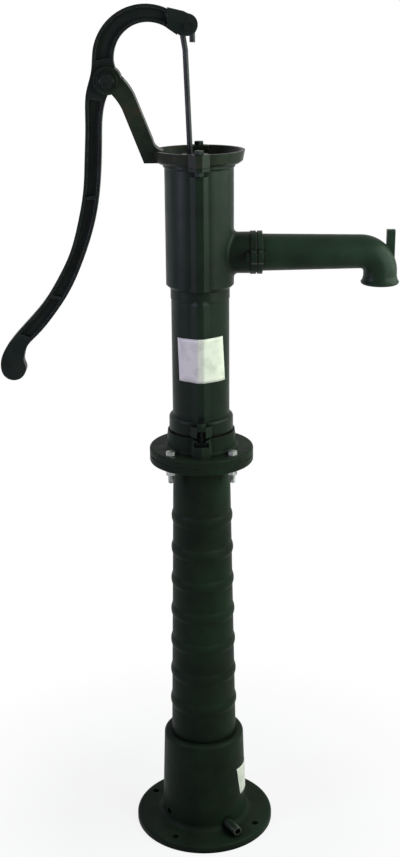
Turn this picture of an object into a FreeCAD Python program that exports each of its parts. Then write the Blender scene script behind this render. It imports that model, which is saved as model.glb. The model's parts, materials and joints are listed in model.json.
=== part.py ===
# Cast iron pitcher pump on a ribbed stand column.
# Origin: centre of the foot's underside. +Z up, +X along the spout, lever towards -X. Millimetres.
import FreeCAD, Part
import Sketcher
import math
import os

os.makedirs("parts", exist_ok=True)
doc = FreeCAD.newDocument("PitcherPump")
sheet = doc.addObject("Spreadsheet::Sheet", "Sizes")

# Driving dimensions, in millimetres and degrees. Each name is the alias of one cell.
DIMENSIONS = [
    # foot casting
    ("base_radius", 112), ("base_thickness", 12), ("base_edge_round", 5),
    ("base_hole_margin", 17), ("base_hole_bore", 11), ("base_hole_turn", -30),
    ("bell_root_radius", 69), ("bell_root_fillet", 10), ("bell_top_radius", 64.5),
    ("bell_top_round", 6.5), ("foot_height", 165), ("foot_wall", 8), ("socket_depth", 70),
    ("socket_ledge", 8), ("socket_clearance", 0.2), ("drain_bore", 15), ("drain_level", 22),
    ("drain_turn", -58), ("weep_bore", 11), ("weep_level", 28), ("weep_turn", -148),
    ("drain_plug_setback", 11), ("drain_plug_wall", 2.5),
    # stand column
    ("column_height", 550), ("column_foot_radius", 52.3), ("column_top_radius", 43.7),
    ("column_foot_bore", 44), ("column_top_bore", 36), ("column_fillet", 6),
    ("bead_pitch", 53.24), ("bead_first_drop", 91), ("bead_rise", 2.3), ("bead_length", 19),
    ("flange_radius", 79.2), ("flange_edge_round", 3.5), ("lower_flange", 11.6),
    ("upper_flange", 10.5), ("flange_gasket_sheet", 1.5), ("gasket_margin", 2),
    ("flange_bolt_circle", 132), ("flange_bolt_turn", 45), ("bolt_clearance", 0.5),
    # valve base
    ("hub_rise", 26.5), ("hub_radius", 51), ("hub_root_radius", 52.5), ("hub_fillet", 5),
    ("port_radius", 16), ("suction_bore", 39), ("suction_depth", 24), ("suction_hub_radius", 27.5),
    ("suction_hub_drop", 30), ("suction_gasket_bore", 60), ("prow_half_width", 15),
    ("prow_reach", 66), ("prow_taper", 6), ("slot_width", 12.5), ("slot_lip", 3),
    ("head_pocket_width", 22), ("head_pocket_height", 7), ("slot_back", 49.5),
    # barrel
    ("seat_leather", 3), ("leather_setback", 1.5), ("cylinder_bore", 75),
    ("cylinder_radius", 43), ("cylinder_length", 216), ("neck_band_rise", 0.8),
    ("neck_band_length", 15), ("collar_radius", 48.5), ("collar_height", 17),
    ("collar_round", 5.5), ("step_rise", 5.5), ("chamber_radius", 50), ("chamber_bore", 88),
    ("chamber_length", 176), ("top_bead", 2), ("top_bead_height", 5), ("rib_rise", 4),
    ("lower_rib_crown", 9.4), ("rib_slope", 56), ("upper_rib_crown", 12), ("upper_rib_width", 31),
    ("lug_half_width", 15.5), ("lug_reach", 61), ("lug_height", 16.5),
    ("lug_window", 10.5), ("tie_bolt_place", 55.2), ("cap_bolt_place", 61.5),
    ("cap_lug_reach", 71.5), ("cap_lug_thickness", 5.5),
    ("spout_rise", 267), ("stub_radius", 30.2), ("stub_fillet", 6), ("stub_reach", 73.3),
    ("stub_flange", 8.5),
    ("stub_flange_radius", 31.5), ("ear_place", 40), ("ear_round", 9.5), ("spout_bore", 42),
    # cap and bracket
    ("cap_floor", 6), ("rim_height", 18), ("rim_radius", 66), ("rim_foot_radius", 63),
    ("rim_foot_rise", 3.5), ("cap_seat_radius", 58.5), ("rim_wall", 5), ("spigot_depth", 6),
    ("spigot_wall", 5), ("spigot_clearance", 0.3), ("rod_slot_centre", -6), ("rod_slot_length", 28),
    ("rod_slot_width", 13), ("rod_boss_wall", 5), ("rod_boss_height", 6), ("nose_reach", 73),
    ("nose_width", 30), ("nose_front_width", 9), ("nose_slant", 9), ("nose_back", 54),
    ("bracket_thickness", 33), ("fork_gap", 19),
    ("fulcrum_reach", 127.4), ("fulcrum_rise", 115.2), ("eye_radius", 19.7), ("eye_ring_radius", 14.5),
    ("eye_ring_rise", 1.5), ("fork_depth", 22.5), ("arm_root_reach", 78), ("arm_width", 27),
    ("arm_root_fillet", 9),
    # spout
    ("spout_gasket_sheet", 2), ("spout_flange", 7.2), ("tube_root_radius", 27), ("tube_radius", 24.7),
    ("tube_length", 143.5), ("tube_wall", 4), ("bend_radius", 30), ("tail_length", 18.5),
    ("lip_radius", 28.2), ("lip_height", 8), ("hook_post_width", 12), ("hook_post_depth", 10),
    ("hook_post_rise", 31.5), ("hook_post_offset", 14),
    # lever and its pins
    ("lever_thickness", 18), ("lever_web", 8), ("lever_rib", 4.6), ("recess_gap", 5),
    ("hub_bore_clearance", 0.08),
    ("hub_disc_radius", 19.4), ("fulcrum_bolt", 12), ("pin_reach", 112.4), ("pin_rise", 71),
    ("pin_bore", 6), ("pin_head", 2.5), ("fork_end_thickness", 22), ("fork_end_radius", 15),
    ("fork_end_lift", 2.5), ("fork_end_length", 27),
    ("bow_radius", 74.5), ("bow_inner_radius", 48.5), ("bow_setback", 58.3), ("bow_rise", 27.3),
    ("bow_inner_forward", 3.7), ("bow_inner_lift", 1.8),
    ("knob_radius", 18.6), ("handle_drop", 416), ("cross_rib", 5), ("pin_fit", 0.05),
    ("pin_tail", 6), ("split_pin_wire", 2),
    # rod, piston and valves
    ("rod_diameter", 8), ("hook_clearance", 0.08), ("rod_side_gap", 0.5), ("hook_tail", 21),
    ("hook_straight", 6),
    ("rod_foot_offset", -4.9), ("rod_nut_play", 2.4), ("rod_nut_gap", 0.6), ("rod_tip", 2),
    ("piston_drop", 64.5), ("cup_clearance", 0.08), ("cup_height", 20), ("cup_leather", 3),
    ("plunger_flange", 8), ("plunger_hub_radius", 30), ("plunger_hub_rise", 17), ("plunger_slope", 4),
    ("plunger_port", 26), ("spigot_radius", 18), ("follower_height", 8), ("follower_radius", 30),
    ("cage_rise", 42), ("cage_bridge", 8), ("cage_reach", 29), ("cage_arm_depth", 7),
    ("cage_corner", 4),
    ("cage_arm_width", 14), ("cage_bridge_width", 30), ("cage_slot", 20.5), ("poppet_radius", 20),
    ("poppet_height", 6), ("poppet_boss", 5), ("valve_rest_gap", 0.3), ("flap_radius", 23),
    ("flap_tongue", 35.2), ("flap_tongue_width", 20), ("weight_radius", 17), ("weight_height", 12),
    ("flap_screw", 6), ("flap_screw_flats", 10), ("flap_screw_head", 4), ("flap_nut", 5), ("flap_washer", 2),
    # small fasteners: thread, width across flats, head and nut heights
    ("small_bolt", 8), ("small_flats", 13), ("small_head", 5.3), ("small_nut", 6.5),
    ("small_washer_radius", 8), ("small_washer", 1.6), ("big_flats", 19), ("big_head", 7.5),
    ("big_nut", 10), ("big_washer_radius", 12), ("big_washer", 2.5),
]
# Sizes that follow others
FOLLOWING = [
    ("base_hole_circle", "=2 * (base_radius - base_hole_margin)"),
    ("drain_plug_reach", "=base_radius - drain_plug_setback"),
    ("hook_post_place", "=stub_reach + stub_flange + spout_gasket_sheet + spout_flange"
                        " + tube_length + bend_radius + hook_post_offset"),
]
for row, (alias, amount) in enumerate(DIMENSIONS + FOLLOWING, start=1):
    sheet.set("A%d" % row, alias.replace("_", " "))
    sheet.set("B%d" % row, str(amount))
    sheet.setAlias("B%d" % row, alias)
doc.recompute()
VALUES = {alias: float(sheet.get(alias)) for alias, amount in DIMENSIONS + FOLLOWING}


class Size:
    """A length that knows both its number and the sheet expression it comes from."""

    def __init__(self, value, text):
        self.value = value
        self.text = text

    def __add__(self, other):
        other = as_size(other)
        return Size(self.value + other.value, "(%s + %s)" % (self.text, other.text))

    def __sub__(self, other):
        other = as_size(other)
        return Size(self.value - other.value, "(%s - %s)" % (self.text, other.text))

    def __mul__(self, other):
        other = as_size(other)
        return Size(self.value * other.value, "(%s * %s)" % (self.text, other.text))

    def __truediv__(self, other):
        other = as_size(other)
        return Size(self.value / other.value, "(%s / %s)" % (self.text, other.text))

    def __neg__(self):
        return Size(-self.value, "(0 - %s)" % self.text)

    def __radd__(self, other):
        return as_size(other) + self

    def __rsub__(self, other):
        return as_size(other) - self

    def __rmul__(self, other):
        return as_size(other) * self


def as_size(number):
    if isinstance(number, Size):
        return number
    return Size(float(number), "%.9f" % number)


def cell(alias):
    return Size(VALUES[alias], "Sizes." + alias)


def turned(radius, degrees):
    """Plan position at a radius and an angle from +X."""
    angle = math.radians(degrees)
    return as_size(radius) * math.cos(angle), as_size(radius) * math.sin(angle)


# Levels up the pump, each built on the one below
column_seat = cell("foot_height") - cell("socket_depth")
column_top = column_seat + cell("column_height")
base_bottom = column_top + cell("flange_gasket_sheet")
base_top = base_bottom + cell("upper_flange")
seat_level = base_top + cell("hub_rise")
barrel_bottom = seat_level + cell("seat_leather")
step_bottom = barrel_bottom + cell("cylinder_length")
chamber_bottom = step_bottom + cell("step_rise")
barrel_top = chamber_bottom + cell("chamber_length")
floor_top = barrel_top + cell("cap_floor")
rim_top = barrel_top + cell("rim_height")
spout_level = barrel_bottom + cell("spout_rise")
fulcrum_x = -cell("fulcrum_reach")
fulcrum_z = barrel_top + cell("fulcrum_rise")
pin_x = fulcrum_x + cell("pin_reach")
pin_z = fulcrum_z + cell("pin_rise")
piston_seat = step_bottom - cell("piston_drop")
flange_bottom = piston_seat + cell("cup_leather")
hub_top = flange_bottom + cell("plunger_flange") + cell("plunger_hub_rise")
bridge_top = hub_top + cell("cage_rise")
bridge_bottom = bridge_top - cell("cage_bridge")
bolt_hole = cell("small_bolt") / 2 + cell("bolt_clearance")


# Helpers for bodies, sketches and features
def new_body(label):
    body = doc.addObject("PartDesign::Body", "Body_" + label)
    body.Label = label
    return body


def sketch_on(body, role, name, lift=None):
    sketch = body.newObject("Sketcher::SketchObject", name)
    for plane in body.Origin.OriginFeatures:
        if plane.Role == role:
            sketch.AttachmentSupport = [(plane, "")]
    sketch.MapMode = "FlatFace"
    if lift is not None:
        lift = as_size(lift)
        sketch.AttachmentOffset = FreeCAD.Placement(FreeCAD.Vector(0, 0, lift.value), FreeCAD.Rotation())
        sketch.setExpression("AttachmentOffset.Base.z", lift.text)
    return sketch


def bind(sketch, constraint, size):
    index = sketch.addConstraint(constraint)
    sketch.renameConstraint(index, "size%d" % index)
    sketch.setExpression("Constraints.size%d" % index, size.text)


def pin_point(sketch, geometry, end, x, y):
    """Hold one end of a line or arc at bound coordinates."""
    if abs(x.value) < 1e-9:
        sketch.addConstraint(Sketcher.Constraint("PointOnObject", geometry, end, -2))
    elif x.value > 0:
        bind(sketch, Sketcher.Constraint("DistanceX", -1, 1, geometry, end, x.value), x)
    else:
        bind(sketch, Sketcher.Constraint("DistanceX", geometry, end, -1, 1, -x.value), -x)
    if abs(y.value) < 1e-9:
        sketch.addConstraint(Sketcher.Constraint("PointOnObject", geometry, end, -1))
    elif y.value > 0:
        bind(sketch, Sketcher.Constraint("DistanceY", -1, 1, geometry, end, y.value), y)
    else:
        bind(sketch, Sketcher.Constraint("DistanceY", geometry, end, -1, 1, -y.value), -y)


def arc_middle(start, end, radius, side):
    """Middle of the short arc from start to end; side 1 turns left, -1 turns right."""
    chord = end - start
    half = chord.Length / 2
    normal = FreeCAD.Vector(-chord.y, chord.x, 0).normalize() * side
    centre = start + chord * 0.5 + normal * math.sqrt(max(radius * radius - half * half, 0.0))
    return centre - normal * radius


def outline(sketch, start, steps, closed=True):
    """Draw a chain: steps are (x, y) for lines and (x, y, radius, side) for arcs."""
    points = [(as_size(start[0]), as_size(start[1]))]
    for step in steps:
        points.append((as_size(step[0]), as_size(step[1])))
    vectors = [FreeCAD.Vector(x.value, y.value, 0) for x, y in points]
    first_end = []
    last_end = []
    for number, step in enumerate(steps):
        a = vectors[number]
        b = vectors[number + 1]
        if len(step) == 2:
            index = sketch.addGeometry(Part.LineSegment(a, b), False)
            first_end.append((index, 1))
            last_end.append((index, 2))
        else:
            radius = as_size(step[2])
            middle = arc_middle(a, b, radius.value, step[3])
            index = sketch.addGeometry(Part.Arc(a, middle, b), False)
            near_start = sketch.getPoint(index, 1).distanceToPoint(a)
            forward = near_start < sketch.getPoint(index, 2).distanceToPoint(a)
            first_end.append((index, 1 if forward else 2))
            last_end.append((index, 2 if forward else 1))
            bind(sketch, Sketcher.Constraint("Radius", index, radius.value), radius)
    for number in range(len(steps)):
        x, y = points[number]
        pin_point(sketch, first_end[number][0], first_end[number][1], x, y)
        if number + 1 < len(steps):
            following = first_end[number + 1]
        elif closed:
            following = first_end[0]
        else:
            x, y = points[-1]
            pin_point(sketch, last_end[number][0], last_end[number][1], x, y)
            continue
        sketch.addConstraint(Sketcher.Constraint("Coincident", *last_end[number], *following))


def closed_outline(sketch, points, last_arc=()):
    """A closed chain whose last step returns to its first point, as a line or an arc."""
    outline(sketch, points[0], list(points[1:]) + [(points[0][0], points[0][1]) + tuple(last_arc)])


def circle(sketch, x, y, radius):
    x, y, radius = as_size(x), as_size(y), as_size(radius)
    centre = FreeCAD.Vector(x.value, y.value, 0)
    index = sketch.addGeometry(Part.Circle(centre, FreeCAD.Vector(0, 0, 1), radius.value))
    pin_point(sketch, index, 3, x, y)
    bind(sketch, Sketcher.Constraint("Radius", index, radius.value), radius)


def stadium(sketch, x, y, reach, half):
    """A slot shape along the sketch's first axis, its end centres reach from the middle."""
    x, y = as_size(x), as_size(y)
    closed_outline(sketch, [
        (x - reach, y - half), (x + reach, y - half), (x + reach + half, y, half, 1),
        (x + reach, y + half, half, 1), (x - reach, y + half), (x - reach - half, y, half, 1)],
        last_arc=(half, 1))


def rectangle(sketch, left, bottom, right, top):
    closed_outline(sketch, [(left, bottom), (right, bottom), (right, top), (left, top)])


def revolve(body, sketch, name, axis="V_Axis", cut=False):
    kind = "PartDesign::Groove" if cut else "PartDesign::Revolution"
    feature = body.newObject(kind, name)
    feature.Profile = sketch
    feature.ReferenceAxis = (sketch, [axis])
    feature.Angle = 360
    return feature


def pad(body, sketch, name, length, middle=False, back=False, taper=None):
    length = as_size(length)
    feature = body.newObject("PartDesign::Pad", name)
    feature.Profile = sketch
    feature.Length = length.value
    feature.setExpression("Length", length.text)
    feature.SideType = "Symmetric" if middle else "One side"
    feature.Reversed = back
    if taper is not None:
        feature.TaperAngle = taper.value
        feature.setExpression("TaperAngle", taper.text)
    return feature


def pocket(body, sketch, name, length=None, middle=False, back=False):
    feature = body.newObject("PartDesign::Pocket", name)
    feature.Profile = sketch
    feature.SideType = "Symmetric" if middle else "One side"
    feature.Reversed = back
    if length is None:
        feature.Type = "ThroughAll"
    else:
        length = as_size(length)
        feature.Length = length.value
        feature.setExpression("Length", length.text)
    return feature


def around(body, features, count, name):
    """Repeat features evenly round the vertical axis."""
    pattern = body.newObject("PartDesign::PolarPattern", name)
    pattern.Originals = features
    for line in body.Origin.OriginFeatures:
        if line.Role == "Z_Axis":
            pattern.Axis = (line, [""])
    pattern.Angle = 360
    pattern.Occurrences = count
    body.Tip = pattern
    return pattern


def place(item, x=0, y=0, z=0, rotation=None):
    x, y, z = as_size(x), as_size(y), as_size(z)
    base = FreeCAD.Vector(x.value, y.value, z.value)
    item.Placement = FreeCAD.Placement(base, rotation or FreeCAD.Rotation())
    item.setExpression("Placement.Base.x", x.text)
    item.setExpression("Placement.Base.y", y.text)
    item.setExpression("Placement.Base.z", z.text)
    return item


def cylinder(name, radius, height, *where, rotation=None):
    radius, height = as_size(radius), as_size(height)
    item = doc.addObject("Part::Cylinder", name)
    item.Radius = radius.value
    item.Height = height.value
    item.setExpression("Radius", radius.text)
    item.setExpression("Height", height.text)
    return place(item, *where, rotation=rotation)


def hexagon(name, flats, height, *where, rotation=None):
    corner = as_size(flats) / math.sqrt(3)
    height = as_size(height)
    item = doc.addObject("Part::Prism", name)
    item.Polygon = 6
    item.Circumradius = corner.value
    item.Height = height.value
    item.setExpression("Circumradius", corner.text)
    item.setExpression("Height", height.text)
    return place(item, *where, rotation=rotation)


def fuse(name, *items):
    joined = doc.addObject("Part::MultiFuse", name)
    joined.Shapes = list(items)
    joined.Refine = True
    return joined


def cut(name, whole, tool):
    left = doc.addObject("Part::Cut", name)
    left.Base = whole
    left.Tool = tool
    left.Refine = True
    return left


def group(label, items):
    """Equal fasteners kept together as separate solids of one sub-part."""
    bundle = doc.addObject("Part::Compound", "Group_" + label)
    bundle.Links = items
    bundle.Label = label
    return bundle


SUBPARTS = []


def keep(item, label):
    item.Label = label
    SUBPARTS.append(item)
    return item


# Foot: round plate with a fillet up to a tapering bell that holds the column in a socket
def make_foot():
    body = new_body("foot")
    edge = cell("base_edge_round")
    plate = cell("base_thickness")
    fillet = cell("bell_root_fillet")
    top_round = cell("bell_top_round")
    bore = cell("column_foot_radius") + cell("socket_clearance")
    ledge = column_seat - cell("socket_ledge")
    inner = cell("bell_root_radius") - cell("foot_wall")
    sketch = sketch_on(body, "XZ_Plane", "FootProfile")
    closed_outline(sketch, [
        (inner, 0),
        (cell("base_radius"), 0),
        (cell("base_radius"), plate - edge),
        (cell("base_radius") - edge, plate, edge, 1),
        (cell("bell_root_radius") + fillet, plate),
        (cell("bell_root_radius"), plate + fillet, fillet, -1),
        (cell("bell_top_radius"), cell("foot_height") - top_round),
        (cell("bell_top_radius") - top_round, cell("foot_height"), top_round, 1),
        (bore, cell("foot_height")),
        (bore, column_seat),
        (cell("column_foot_bore"), column_seat),
        (cell("column_foot_bore"), ledge),
        (inner - cell("foot_wall"), ledge - cell("foot_wall") * 2),
    ])
    revolve(body, sketch, "FootCasting")
    x, y = turned(cell("base_hole_circle") / 2, VALUES["base_hole_turn"])
    sketch = sketch_on(body, "XY_Plane", "BaseHole")
    circle(sketch, x, y, cell("base_hole_bore") / 2)
    hole = pocket(body, sketch, "BaseHoleCut", back=True)
    around(body, [hole], 4, "BaseHoles")
    for name, bore_alias, level, turn in (
            ("Drain", "drain_bore", "drain_level", "drain_turn"),
            ("Weep", "weep_bore", "weep_level", "weep_turn")):
        sketch = sketch_on(body, "YZ_Plane", name + "Circle")
        sketch.AttachmentOffset = FreeCAD.Placement(
            FreeCAD.Vector(0, 0, 0), FreeCAD.Rotation(FreeCAD.Vector(0, 1, 0), VALUES[turn]))
        sketch.setExpression("AttachmentOffset.Rotation.Angle", "Sizes." + turn + " * 1 deg")
        circle(sketch, 0, cell(level), cell(bore_alias) / 2)
        pocket(body, sketch, name + "Hole", cell("base_radius"), back=True)
    keep(body, "foot")


# Drain plug: short pipe stub screwed into the foot, lying radially just above the plate
def make_drain_plug():
    outer = cylinder("PlugOuter", cell("drain_bore") / 2, plug_length())
    inner = cylinder("PlugInner", cell("drain_bore") / 2 - cell("drain_plug_wall"), plug_length() / 2)
    plug = cut("DrainPlug", outer, inner)
    turn = FreeCAD.Rotation(FreeCAD.Vector(0, 0, 1), VALUES["drain_turn"])
    tip = FreeCAD.Rotation(FreeCAD.Vector(0, 1, 0), -90)
    x, y = turned(cell("drain_plug_reach"), VALUES["drain_turn"])
    place(plug, x, y, cell("drain_level"), rotation=turn.multiply(tip))
    keep(plug, "drain_plug")


def plug_length():
    return cell("drain_plug_reach") - (cell("bell_root_radius") - cell("foot_wall"))


# Column: tapering casting with half round beads, a flange on top and a hollow for the suction pipe
def make_column():
    body = new_body("stand_column")
    foot = cell("column_foot_radius")
    top = cell("column_top_radius")
    shoulder = cell("foot_height")
    underside = column_top - cell("lower_flange")
    fillet = cell("column_fillet")
    edge = cell("flange_edge_round")

    def radius_at(level):
        return foot + (top - foot) * (level - shoulder) / (underside - fillet - shoulder)

    sag = cell("bead_rise")
    half = cell("bead_length") / 2
    bead_radius = (half * half + sag * sag) / (sag * 2)
    points = [(cell("column_foot_bore"), column_seat), (foot, column_seat), (foot, shoulder)]
    bead_count = 7
    for number in reversed(range(bead_count)):
        level = underside - cell("bead_first_drop") - cell("bead_pitch") * number
        points.append((radius_at(level - half), level - half))
        points.append((radius_at(level + half), level + half, bead_radius, 1))
    points += [
        (top, underside - fillet),
        (top + fillet, underside, fillet, -1),
        (cell("flange_radius") - edge, underside),
        (cell("flange_radius"), underside + edge, edge, 1),
        (cell("flange_radius"), column_top),
        (cell("column_top_bore"), column_top),
        (cell("column_top_bore"), underside),
    ]
    sketch = sketch_on(body, "XZ_Plane", "ColumnProfile")
    closed_outline(sketch, points)
    revolve(body, sketch, "ColumnCasting")
    drill_flange(body, column_top, cell("lower_flange"))
    keep(body, "stand_column")


def drill_flange(body, top, depth):
    """Four bolt holes down through a flange."""
    x, y = turned(cell("flange_bolt_circle") / 2, VALUES["flange_bolt_turn"])
    sketch = sketch_on(body, "XY_Plane", "FlangeHole", top)
    circle(sketch, x, y, bolt_hole)
    hole = pocket(body, sketch, "FlangeHoleCut", depth)
    around(body, [hole], 4, "FlangeHoles")


def make_flange_gasket():
    body = new_body("flange_gasket")
    sketch = sketch_on(body, "XY_Plane", "GasketRing", column_top)
    circle(sketch, 0, 0, cell("flange_radius") - cell("gasket_margin"))
    circle(sketch, 0, 0, cell("suction_gasket_bore") / 2)
    pad(body, sketch, "GasketSheet", cell("flange_gasket_sheet"))
    drill_flange(body, base_bottom, cell("flange_gasket_sheet"))
    keep(body, "flange_gasket")


def make_flange_fasteners():
    bolts = []
    washers = []
    nuts = []
    underside = column_top - cell("lower_flange")
    for number in range(4):
        x, y = turned(cell("flange_bolt_circle") / 2, VALUES["flange_bolt_turn"] + 90 * number)
        nut_top = underside - cell("small_washer")
        end = nut_top - cell("small_nut") - cell("small_bolt") * 1.6
        shank = cylinder("FlangeShank", cell("small_bolt") / 2, base_top - end, x, y, end)
        head = hexagon("FlangeHead", cell("small_flats"), cell("small_head"), x, y, base_top)
        bolts.append(fuse("FlangeBolt", shank, head))
        washers.append(ring("FlangeWasher", cell("small_washer_radius"), cell("small_bolt") / 2,
                            cell("small_washer"), x, y, nut_top))
        nuts.append(hex_nut("FlangeNut", "small", x, y, nut_top - cell("small_nut")))
    keep(group("flange_bolts", bolts), "flange_bolts")
    keep(group("flange_washers", washers), "flange_washers")
    keep(group("flange_nuts", nuts), "flange_nuts")


def ring(name, outer, inner, height, *where, rotation=None):
    whole = cylinder(name + "Disc", outer, height)
    hole = cylinder(name + "Bore", inner, height)
    return place(cut(name, whole, hole), *where, rotation=rotation)


def hex_nut(name, kind, *where, rotation=None, bore=None):
    height = cell(kind + "_nut")
    bore = bore or cell(kind + "_bolt") / 2
    whole = hexagon(name + "Block", cell(kind + "_flats"), height)
    hole = cylinder(name + "Bore", bore, height)
    return place(cut(name, whole, hole), *where, rotation=rotation)


# Valve base: flange, hub with two prow shaped lugs for the tie bolts, and the suction socket below
def make_valve_base():
    body = new_body("valve_base")
    edge = cell("flange_edge_round")
    fillet = cell("hub_fillet")
    bore = cell("suction_bore") / 2
    bottom = base_bottom - cell("suction_hub_drop")
    socket_end = bottom + cell("suction_depth")
    sketch = sketch_on(body, "XZ_Plane", "BaseProfile")
    closed_outline(sketch, [
        (cell("port_radius"), seat_level),
        (cell("port_radius"), socket_end + (bore - cell("port_radius"))),
        (bore, socket_end),
        (bore, bottom),
        (cell("suction_hub_radius"), bottom),
        (cell("suction_hub_radius"), base_bottom),
        (cell("flange_radius"), base_bottom),
        (cell("flange_radius"), base_top - edge),
        (cell("flange_radius") - edge, base_top, edge, 1),
        (cell("hub_root_radius") + fillet, base_top),
        (cell("hub_root_radius"), base_top + fillet, fillet, -1),
        (cell("hub_radius"), seat_level),
    ])
    revolve(body, sketch, "BaseCasting")
    half = cell("prow_half_width")
    root = cell("hub_radius") * 0.88
    reach = cell("prow_reach")
    sketch = sketch_on(body, "XY_Plane", "Prow", seat_level)
    closed_outline(sketch, [
        (half, -root), (half * 0.7, -(reach - 5)), (0, -reach), (-half * 0.7, -(reach - 5)), (-half, -root)])
    prow = pad(body, sketch, "ProwLug", cell("hub_rise"), back=True, taper=cell("prow_taper"))
    around(body, [prow], 2, "ProwLugs")
    lip = seat_level - cell("slot_lip")
    sketch = sketch_on(body, "XZ_Plane", "BoltSlot", cell("slot_back"))
    slot = cell("slot_width") / 2
    head = cell("head_pocket_width") / 2
    closed_outline(sketch, [
        (slot, seat_level + 1), (-slot, seat_level + 1), (-slot, lip), (-head, lip),
        (-head, lip - cell("head_pocket_height")), (head, lip - cell("head_pocket_height")),
        (head, lip), (slot, lip)])
    slots = pocket(body, sketch, "BoltSlotCut", cell("flange_radius"), back=True)
    around(body, [slots], 2, "BoltSlots")
    drill_flange(body, base_top, cell("upper_flange"))
    keep(body, "valve_base")


def make_seat_leather():
    outer = cell("collar_radius") - cell("leather_setback")
    leather = ring("SeatLeather", outer, cell("cylinder_bore") / 2, cell("seat_leather"), 0, 0, seat_level)
    keep(leather, "seat_leather")


# Barrel: cylinder, step, chamber, ribs, lugs, spout stub and bores
def add_lower_ribs(body, low, high):
    """Ribs up the front and back of the cylinder, with sloped flanks and an arched top."""
    half = cell("lower_rib_crown") / 2
    depth = cell("rib_rise") * 2
    sketch = sketch_on(body, "XZ_Plane", "LowerRib", cell("cylinder_radius") + cell("rib_rise"))
    closed_outline(sketch, [
        (-half, low), (half, low), (half, high - half), (0, high, half, 1), (-half, high - half, half, 1)])
    rib = pad(body, sketch, "LowerRibPad", depth, back=True, taper=cell("rib_slope"))
    around(body, [rib], 2, "LowerRibs")


def add_upper_ribs(body, low, high):
    """Wider ribs up the front and back of the chamber, cut square at both ends."""
    half = cell("upper_rib_crown") / 2
    foot = cell("upper_rib_width") / 2
    crown = cell("chamber_radius") + cell("rib_rise")
    sunk = cell("chamber_radius") * 0.92
    sketch = sketch_on(body, "XY_Plane", "UpperRib", low)
    closed_outline(sketch, [
        (-foot, -sunk), (-half, -crown), (half, -crown), (foot, -sunk)])
    rib = pad(body, sketch, "UpperRibPad", high - low)
    around(body, [rib], 2, "UpperRibs")


def edges_between(feature, radius, pipe_radius, level):
    """Names of the edges where a level pipe along X meets the upright cylinder of this radius."""
    doc.recompute()
    found = []
    for number, edge in enumerate(feature.Shape.Edges, start=1):
        points = edge.discretize(9)
        upright = all(abs(math.hypot(p.x, p.y) - radius.value) < 0.05 for p in points)
        level_pipe = all(abs(math.hypot(p.y, p.z - level.value) - pipe_radius.value) < 0.05 for p in points)
        if upright and level_pipe:
            found.append("Edge%d" % number)
    return found


def lug_outline(sketch, root, half, reach):
    closed_outline(sketch, [
        (half, -root), (half, -(reach - 9)), (half * 0.4, -reach), (-half * 0.4, -reach),
        (-half, -(reach - 9)), (-half, -root)])


def nose_outline(sketch, root, reach):
    """Bolt nose in plan: slanted cheeks that run out to a narrow front."""
    half = cell("nose_width") / 2
    front = cell("nose_front_width") / 2
    cheek = reach - cell("nose_slant")
    closed_outline(sketch, [
        (half, -root), (half, -cheek), (front, -reach), (-front, -reach), (-half, -cheek), (-half, -root)])


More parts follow.
